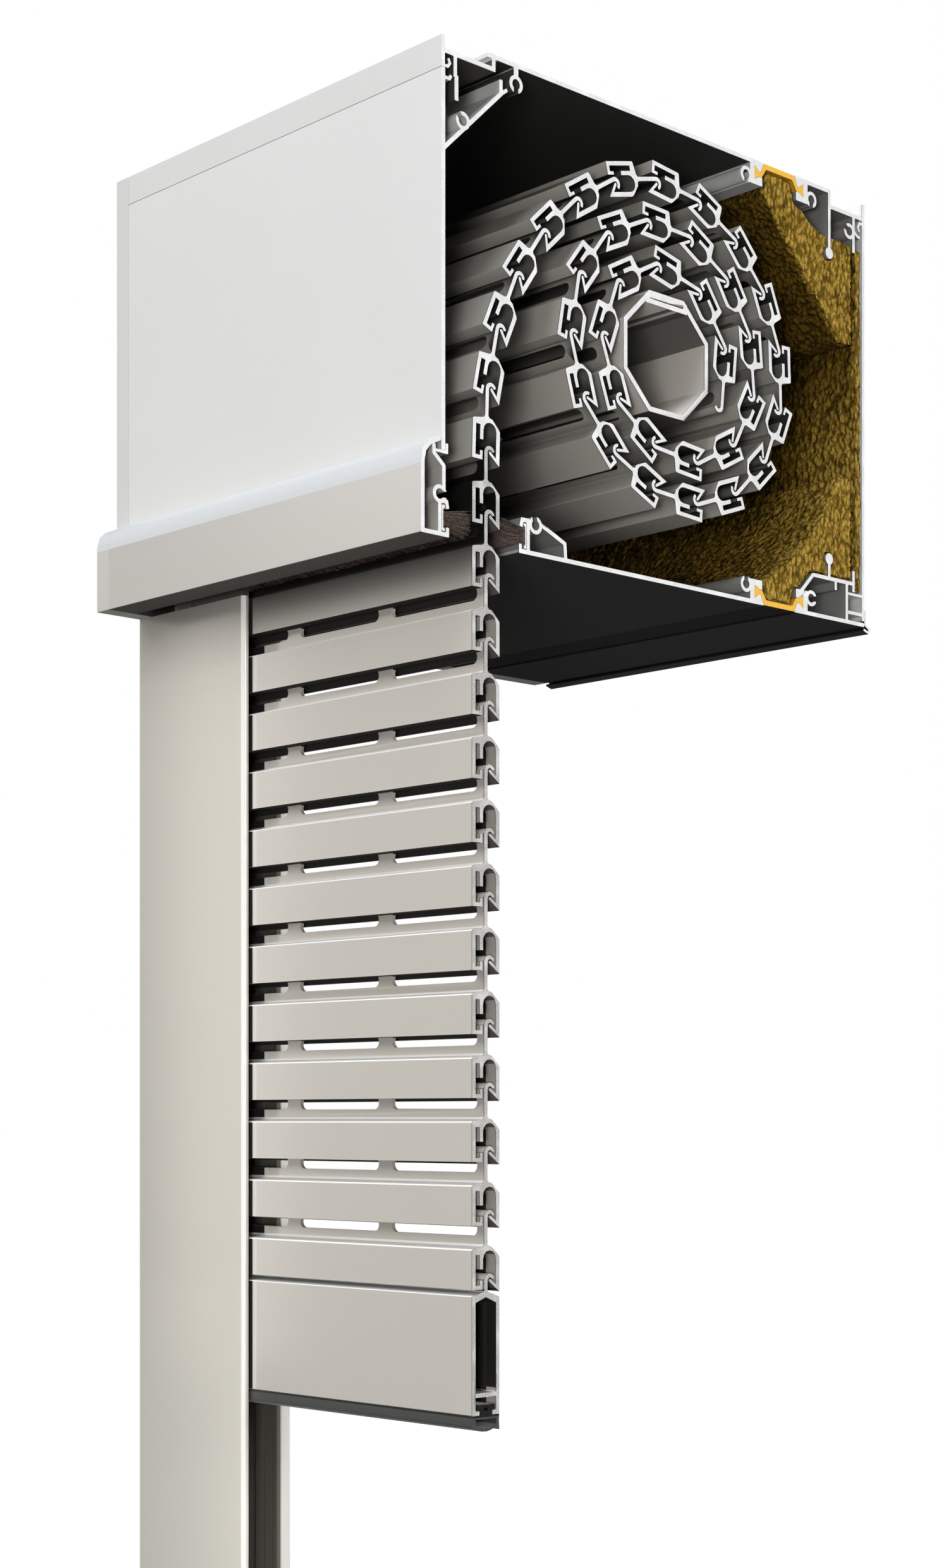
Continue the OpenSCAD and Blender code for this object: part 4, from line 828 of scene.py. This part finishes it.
def sealOutlines():
    low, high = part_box("bottom_seal")
    centre = (low.y + high.y) / 2
    base = low.z + sealLook["rise"] * mm
    side, sideEnd, pipRadius = sealLook["side"], sealLook["sideEnd"], sealLook["pip"]
    roundY, roundZ = sealLook["round"]

    def at(y, z):
        return centre + y * mm, base + z * mm

    outer = [at(-side, -0.1), at(-side, sideEnd)]
    outer += [at(-side + roundY * (1 - math.cos(a)), sideEnd - roundZ * math.sin(a))
              for a in (math.radians(t) for t in (20, 45, 70))]
    outer += [at(-5.2, -6.9), at(-2.6, -7.6), at(0.4, -7.75), at(2.8, -7.3), at(4.6, -6.6), at(6.2, -6.4),
              at(7.4, -6.9), at(8.35, -7.4), at(8.3, -5.8), at(8.1, -3.0), at(8.3, -0.1),
              at(3.75, -0.1), at(3.75, 2.2), at(5.5, 2.2), at(5.4, 4.2), at(4.6, 4.9), at(-4.6, 4.9),
              at(-5.4, 4.2), at(-5.5, 2.2), at(-3.75, 2.2), at(-3.75, -0.1)]
    hollow = [at(-6.5, -1.9), at(6.4, -1.9), at(6.5, -4.6), at(5.2, -5.0), at(3.8, -5.3), at(1.8, -5.9),
              at(-1.4, -6.1), at(-4.6, -5.4), at(-6.3, -4.6)]
    pip = [at(pipRadius * math.cos(a), 2.6 + pipRadius * math.sin(a))
           for a in (math.radians(30 * k) for k in range(12))]
    return low.x, high.x, outer, [hollow, pip]


def tubedProfile(name, x0, x1, outer, holes):
    curve = bpy.data.curves.new(name, "CURVE")
    curve.dimensions = "2D"
    curve.fill_mode = "BOTH"
    curve.extrude = (x1 - x0) / 2
    for loop in [outer] + holes:
        spline = curve.splines.new("POLY")
        spline.points.add(len(loop) - 1)
        spline.use_cyclic_u = True
        for point, (y, z) in zip(spline.points, loop):
            point.co = (y, z, 0, 1)
    flat = addObject(name + "Flat", curve)
    graph = bpy.context.evaluated_depsgraph_get()
    mesh = bpy.data.meshes.new_from_object(flat.evaluated_get(graph))
    middle = (x0 + x1) / 2
    for vertex in mesh.vertices:
        y, z, along = vertex.co
        vertex.co = (middle + along, y, z)
    bpy.data.objects.remove(flat)
    bm = welded(mesh)
    bmesh.ops.recalc_face_normals(bm, faces=bm.faces)
    for edge in bm.edges:
        if len(edge.link_faces) == 2:
            edge.smooth = edge.calc_face_angle(0) < sealSharp
    for face in bm.faces:
        face.smooth = True
    return addObject(name, meshOf(bm, name))


sealX0, sealX1, sealOuter, sealHoles = sealOutlines()
dress(tubedProfile("bottomSealRubber", sealX0, sealX1, sealOuter, sealHoles), "bottom_seal", "sealRubber")
print("bottom seal drawn")


# camera, floor and light: the camera's angle and framing follow the photograph's vanishing lines

studio = {"lens": 58.156, "place": (0.8827, -0.9021, -0.3804), "turn": 44.298, "rise": 0.2138,
          "aside": -0.1282, "floorZ": -0.6435, "floorReach": 14.0, "world": 0.09, "backdrop": 1.0, "floorGlow": 1.0}
lights = {  # place, aim, width and height, power, colour
    "key": ((-1.0, -2.4, 1.4), (-0.1, -0.1, -0.35), (1.8, 1.8), 49, (1, 1, 1)),
    "side": ((4.6, -0.05, 0.3), (0, 0, -0.1), (0.8, 1.2), 140, (1, 1, 1)),
    "near": ((1.15, -1.6, -0.75), (-0.12, -0.15, -0.55), (0.5, 0.9), 38, (1, 1, 1)),
    "back": ((-1.6, 2.6, 1.3), (-0.1, 0.1, -0.1), (1.4, 1.4), 42, (1, 1, 1)),
    "top": ((0.1, -1.2, 2.6), (-0.1, -0.1, -0.2), (1.6, 1.6), 58, (0.88, 0.94, 1.0)),
    "strip": ((-1.37, -1.02, -0.5), (-0.165, -0.13, -0.45), (0.06, 1.8), 2.6, (1.0, 0.94, 0.84)),
}


def addCamera():
    data = bpy.data.cameras.new("camera")
    data.lens = studio["lens"]
    data.sensor_width = 36
    data.shift_x = studio["aside"]
    data.shift_y = studio["rise"]
    data.clip_start = 0.01
    camera = addObject("camera", data)
    camera.location = studio["place"]
    camera.rotation_euler = (math.pi / 2, 0, math.radians(studio["turn"]))
    bpy.context.scene.camera = camera


def addFloor():
    bm = bmesh.new()
    bmesh.ops.create_grid(bm, x_segments=1, y_segments=1, size=studio["floorReach"])
    for vertex in bm.verts:
        vertex.co.z = studio["floorZ"]
    floor = addObject("floor", meshOf(bm, "floor"))
    tree, shader = newMaterial("paleFloor")
    tone = remap(tree, noise(tree, partPlace(tree), 6.0, 3.0), 0.3, 0.7, 0.11, 0.125)
    grey = addNode(tree, "ShaderNodeCombineColor", {0: tone, 1: tone, 2: tone}).outputs[0]
    seen = addNode(tree, "ShaderNodeLightPath").outputs["Is Camera Ray"]
    linkAll(tree, shader.inputs, {"Base Color": grey,
                                  "Emission Strength": calc(tree, "MULTIPLY", seen, studio["floorGlow"])})
    shader.inputs["Roughness"].default_value = 0.75
    shader.inputs["Emission Color"].default_value = (1, 1, 1, 1)
    floor.data.materials.append(materials["paleFloor"])


def addWorld():
    world = bpy.data.worlds.new("studio")
    world.use_nodes = True
    tree = world.node_tree
    background = tree.nodes["Background"]
    seen = addNode(tree, "ShaderNodeLightPath").outputs["Is Camera Ray"]
    background.inputs[0].default_value = (1, 1, 1, 1)
    tree.links.new(mixValue(tree, seen, studio["world"], studio["backdrop"]), background.inputs[1])
    bpy.context.scene.world = world


def addArea(name, place, aim, size, power, color):
    data = bpy.data.lights.new(name, "AREA")
    data.shape = "RECTANGLE"
    data.size, data.size_y = size
    data.energy = power
    data.color = color
    light = addObject(name, data)
    light.location = place
    light.rotation_euler = (Vector(aim) - Vector(place)).to_track_quat("-Z", "Y").to_euler()


addCamera()
addFloor()
addWorld()
for name, light in lights.items():
    addArea(name, *light)
bpy.context.scene.view_settings.view_transform = "Standard"
print("studio set:", len(lights), "lights")
